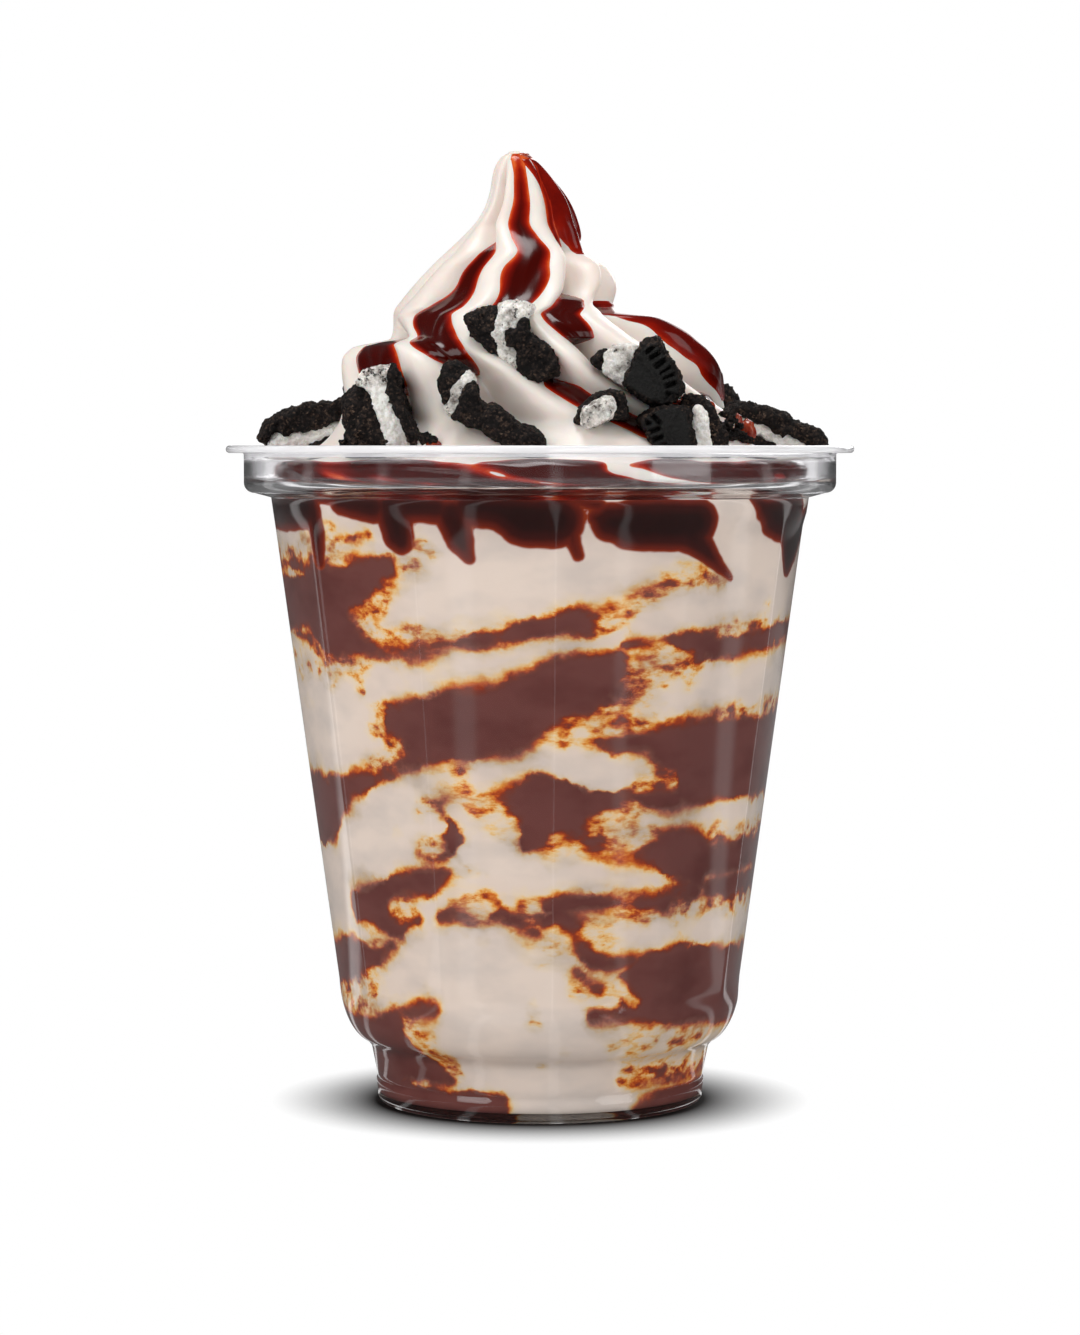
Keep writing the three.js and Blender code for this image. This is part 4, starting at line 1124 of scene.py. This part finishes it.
filling_look, tree, shader = new_material(
    "cookie cream", roughness=0.7, specular_ior_level=0.3, subsurface_weight=0.15, subsurface_scale=0.001,
)
mask, height = crumb_nodes(tree, 0.4)
dirt = node(tree, "Attribute", attribute_name="dirt").outputs["Fac"]
stained = spread(tree, grain(tree, 1.7, 5, 0.7), 0.42, 0.66)
smear = math(tree, "MULTIPLY", stained, spread(tree, dirt, 0.1, 0.6))
dirty = spread(tree, math(tree, "MULTIPLY_ADD", dirt, 0.16, grain(tree, 0.8, 4, 0.75)), 0.68, 0.74)
tint = mixed(tree, smear, ramp(tree, mask, [(0.3, "#dcd8cf"), (0.7, "#f6f3ee")]), colour("#6d645c"))
tree.links.new(mixed(tree, dirty, tint, colour("#221a17")), shader.inputs["Base Color"])
relief = node(tree, "Bump", {"Height": height, "Strength": 0.5, "Distance": 0.0004})
tree.links.new(relief.outputs[0], shader.inputs["Normal"])

# How much crumb has stuck to each cream, with little on the rest.
DIRTY_CREAM = {"upper": 0.55, "right_upper": 0.4, "right_small": 0.65, "middle_left": 0.5}
LITTLE_DIRT = 0.05
KNOB = {"left_front": 108.4}    # height above which this cream is caked with crumbs
NO_KNOB = 200

for node_name in sorted(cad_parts):
    if not node_name.startswith("cookie_"):
        continue
    layer_name = node_name.removeprefix("cookie_")
    piece_name = layer_name.rsplit("_wafer", 1)[0].removesuffix("_cream")
    if layer_name in LAYER_OUTLINES:
        rough_mesh = outline_mesh(node_name, node_name, LAYER_OUTLINES[layer_name])
    else:
        rough_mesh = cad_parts[node_name].data.copy()
    voxel = FACE_VOXEL if layer_name in RIM_EDGES else VOXEL
    piece, places, normals = remeshed(node_name + "_layer", rough_mesh, voxel)
    if node_name.endswith("_cream"):
        rough = crags(places, CREAM_CRAGS, CRUMB_DEPTH) + LAYER_SWELL["cream"]
        settle(piece, places + normals * rough[:, None])
        patchy = np.array([noise.noise(place * 0.5) for place in map(Vector, places)])
        field, amount = "dirt", DIRTY_CREAM.get(piece_name, LITTLE_DIRT) + 0.35 * patchy
        knob = KNOB.get(piece_name, NO_KNOB)
        amount += 0.9 * smoothstep(places[:, 2], knob - 0.5, knob + 0.5)
        piece.data.materials.append(filling_look)
    else:
        rough = crags(places, WAFER_CRAGS, CRUMB_DEPTH) + LAYER_SWELL["wafer"]
        field, amount = "face", np.zeros(len(places))
        if layer_name in RIM_EDGES:
            amount = smoothstep(-normals[:, 1], 0.5, 0.8)
            rough += amount * (rim_relief(places, RIM_EDGES[layer_name]) - 0.85 * rough)
        settle(piece, places + normals * rough[:, None])
        piece.data.materials.append(wafer_look)
    piece.data.attributes.new(field, "FLOAT", "POINT").data.foreach_set("value", amount.astype(np.float32))
    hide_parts(node_name)
    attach(piece, "root")


# ---- loose crumbs and drops of fudge ----
# Crumbs that broke off the cookies and lie on the soft serve between them, and drops of fudge that fell
# beside the runs. Each drop is a smooth bead, and each crumb a rough one.

# x, y, z and size of each crumb.
CRUMBS = [
    (-16.5, -33.6, 100.6, 1.0), (-15.4, -33.9, 100.3, 0.8), (-26.8, -31.6, 100.2, 0.7),
    (-25.6, -32.2, 99.9, 0.5), (-28.4, -30.6, 100, 0.6), (-22.4, -33.6, 100.1, 0.5),
    (27.3, -22.4, 102.4, 0.9), (28, -21.6, 103.4, 0.8),
    (28.6, -22, 101.6, 0.7), (29.2, -21, 102.4, 0.6), (27.9, -22.8, 100.9, 0.8), (29.6, -20.8, 100.9, 0.9),
    (30.6, -20, 100.4, 0.7), (26.8, -20.9, 104.2, 0.6), (19.4, -26, 106, 0.6), (21.2, -24.6, 106.6, 0.5),
]
# x, y, z and the three half-sizes of each drop.
DROPS = [
    (30.3, -18.5, 101.6, 1.4, 1.4, 1.8), (29, -20.4, 103.2, 0.6, 0.6, 1), (19.6, -25.6, 105.6, 1.3, 1, 0.8),
    (21.6, -24.4, 106, 1.2, 0.9, 0.7), (-15.2, -33.8, 99.8, 1.1, 0.8, 0.5), (24.6, -22, 105.4, 1, 0.8, 0.7),
    (-2.7, -0.4, 142.9, 1.5, 1.6, 0.8),
]
LUMPS = 1.6                # lumps across half a bead


def beads(name, places, sizes, roughness, seed):
    """A joined mesh of uneven beads."""
    ball = bmesh.new()
    bmesh.ops.create_icosphere(ball, subdivisions=4, radius=1)
    points = np.array([vertex.co for vertex in ball.verts])
    faces = np.array([[vertex.index for vertex in face.verts] for face in ball.faces])
    ball.free()
    all_points, all_faces = [], []
    for number, (place, size) in enumerate(zip(places, sizes)):
        shift = Vector((seed, number, 0))
        swell = np.array([
            1 + roughness * noise.fractal(Vector(point) * LUMPS + shift, 1, 2, 3) for point in points
        ])
        all_points.append(points * swell[:, None] * size + place)
        all_faces.append(faces + len(points) * number)
    return smooth_piece(name, np.vstack(all_points), np.vstack(all_faces).tolist())


crumb_table = np.array(CRUMBS)
crumbs = beads("loose_crumbs", crumb_table[:, :3], crumb_table[:, 3:] * (1, 0.9, 0.8), 0.55, 3)
crumbs.data.materials.append(wafer_look)
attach(crumbs, "root")

drop_table = np.array(DROPS)
drops = beads("fudge_drops", drop_table[:, :3], drop_table[:, 3:], 0.2, 7)
drops_look, tree, shader = new_material("fudge drops", roughness=0.16, specular_ior_level=0.5)
tint = ramp(tree, grain(tree, 1.5, 3), [(0.35, "#6e1408"), (0.65, "#a8482c")])
tree.links.new(tint, shader.inputs["Base Color"])
drops.data.materials.append(drops_look)
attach(drops, "root")


# ---- floor, world and lamps ----
# A pale studio floor that runs off into a white background, and four soft lamps with the main one at the
# left. The floor's colour holds a painted shade round the cup's foot, and painted reflections. None of it
# belongs to the sundae.

FLOOR_CLEAR = (0.025, 0.041)   # metres from the cup's axis between which the floor fades into white
CONTACT = 0.024            # metres that the painted shade round the cup's foot reaches
OPEN_SHARE = (0.99, 0.7)   # the share of open sky at which that shade starts and is full
PAINTED_SHADE_COLOUR = (0.012, 0.009, 0.008, 1)
FLOOR_COLOUR = (0.93, 0.93, 0.93, 1)
# Painted reflection: shiny surfaces mirror the floor as this dark grey, not as the white that the camera
# sees.
PAINTED_MIRRORED_FLOOR = (0.14, 0.14, 0.14, 1)
WORLD_LIGHT = 0.48
MIRRORED_LIGHT = 0.06      # the studio is dim where shiny surfaces mirror it, apart from its lamps
# Painted reflections: strips of the floor that glow white, though they are no lamp, where the cup's panels
# mirror them, as azimuth and half-width.
PAINTED_REFLECTION_STRIPS = [(-128, 6), (-100, 4), (-62, 3), (-28, 3), (6, 3), (36, 2), (97, 4), (130, 6)]


def mirrored_ray(tree):
    """1 for rays that a shiny surface has reflected, also where clear plastic lies in between."""
    path = node(tree, "LightPath").outputs
    reflected = math(tree, "GREATER_THAN", path["Glossy Depth"], 0.5)
    return math(tree, "MULTIPLY", reflected, math(tree, "LESS_THAN", path["Diffuse Depth"], 0.5))


def straight_ray(tree):
    """1 for rays from the camera, also through clear plastic, and 0 for those that a surface sends on."""
    path = node(tree, "LightPath").outputs
    direct = math(tree, "MAXIMUM", path["Is Camera Ray"], path["Is Transmission Ray"])
    bounces = math(tree, "ADD", path["Diffuse Depth"], path["Glossy Depth"])
    return math(tree, "MULTIPLY", direct, math(tree, "LESS_THAN", bounces, 0.5))


floor_mesh = bpy.data.meshes.new("floor")
floor_mesh.from_pydata([(-30, -30, 0), (30, -30, 0), (30, 30, 0), (-30, 30, 0)], [], [(0, 1, 2, 3)])
floor = bpy.data.objects.new("floor", floor_mesh)
bpy.context.scene.collection.objects.link(floor)
floor_look, tree, shader = new_material("studio floor", roughness=0.9, specular_ior_level=0.1)
# Painted shade: for rays straight from the camera, the floor's own colour darkens by ambient occlusion round
# the cup's foot.
open_share = node(tree, "AmbientOcclusion", {"Distance": CONTACT}, samples=8).outputs["AO"]
painted_shade = math(tree, "MULTIPLY", spread(tree, open_share, *OPEN_SHARE), straight_ray(tree))
pale = mixed(tree, painted_shade, FLOOR_COLOUR, PAINTED_SHADE_COLOUR)
# Painted reflection: rays that a shiny surface mirrors see the floor in a dark grey.
pale = mixed(tree, mirrored_ray(tree), pale, PAINTED_MIRRORED_FLOOR)
tree.links.new(pale, shader.inputs["Base Color"])
on_floor = node(tree, "TexCoord").outputs["Object"]
far_off = node(tree, "VectorMath", {0: on_floor}, operation="LENGTH").outputs["Value"]
faded = math(tree, "MULTIPLY", spread(tree, far_off, *FLOOR_CLEAR), straight_ray(tree))
floor_place = node(tree, "SeparateXYZ", {0: on_floor}).outputs
floor_azimuth = math(tree, "ARCTAN2", floor_place["X"], math(tree, "MULTIPLY", floor_place["Y"], -1.0))
# Painted reflections: in these strips the floor glows white only for rays that a shiny surface mirrors.
strips = 0.0
for azimuth, half in PAINTED_REFLECTION_STRIPS:
    off = math(tree, "ABSOLUTE", math(tree, "SUBTRACT", floor_azimuth, radians(azimuth)))
    strips = math(tree, "MAXIMUM", strips, spread(tree, off, radians(half), radians(half / 2)))
strips = math(tree, "MULTIPLY", strips, mirrored_ray(tree))
faded = math(tree, "MAXIMUM", faded, strips)
white = node(tree, "Emission", {"Color": (1, 1, 1, 1), "Strength": 1.0})
blend = node(tree, "MixShader", {0: faded, 1: shader.outputs[0], 2: white.outputs[0]})
tree.links.new(blend.outputs[0], tree.nodes["Material Output"].inputs["Surface"])
floor_mesh.materials.append(floor_look)

world = bpy.data.worlds.new("studio")
bpy.context.scene.world = world
world.use_nodes = True
tree = world.node_tree
background = tree.nodes["Background"]
background.inputs["Color"].default_value = (1, 1, 1, 1)
lit = spread(tree, mirrored_ray(tree), 0, 1, WORLD_LIGHT, MIRRORED_LIGHT)
lit = math(tree, "MAXIMUM", lit, straight_ray(tree))
tree.links.new(lit, background.inputs["Strength"])


def lamp(name, place, size, power, aim=(0, 0, 0.08)):
    """A soft rectangular lamp, in metres and watts, that points at the sundae."""
    light = bpy.data.lights.new(name, "AREA")
    light.shape = "RECTANGLE"
    light.size, light.size_y = size
    light.energy = power
    made = bpy.data.objects.new(name, light)
    made.location = place
    made.rotation_euler = (Vector(aim) - Vector(place)).to_track_quat("-Z", "Y").to_euler()
    bpy.context.scene.collection.objects.link(made)


lamp("key", (-0.62, -0.55, 0.5), (0.4, 0.7), 3.8)
lamp("fill", (0.7, -0.5, 0.3), (0.4, 0.7), 2.4)
lamp("top", (-0.05, 0.05, 0.9), (0.3, 0.3), 2.8)
lamp("back", (0.25, 0.8, 0.4), (0.5, 0.5), 2.6)

scene = bpy.context.scene
scene.view_settings.view_transform = "Standard"
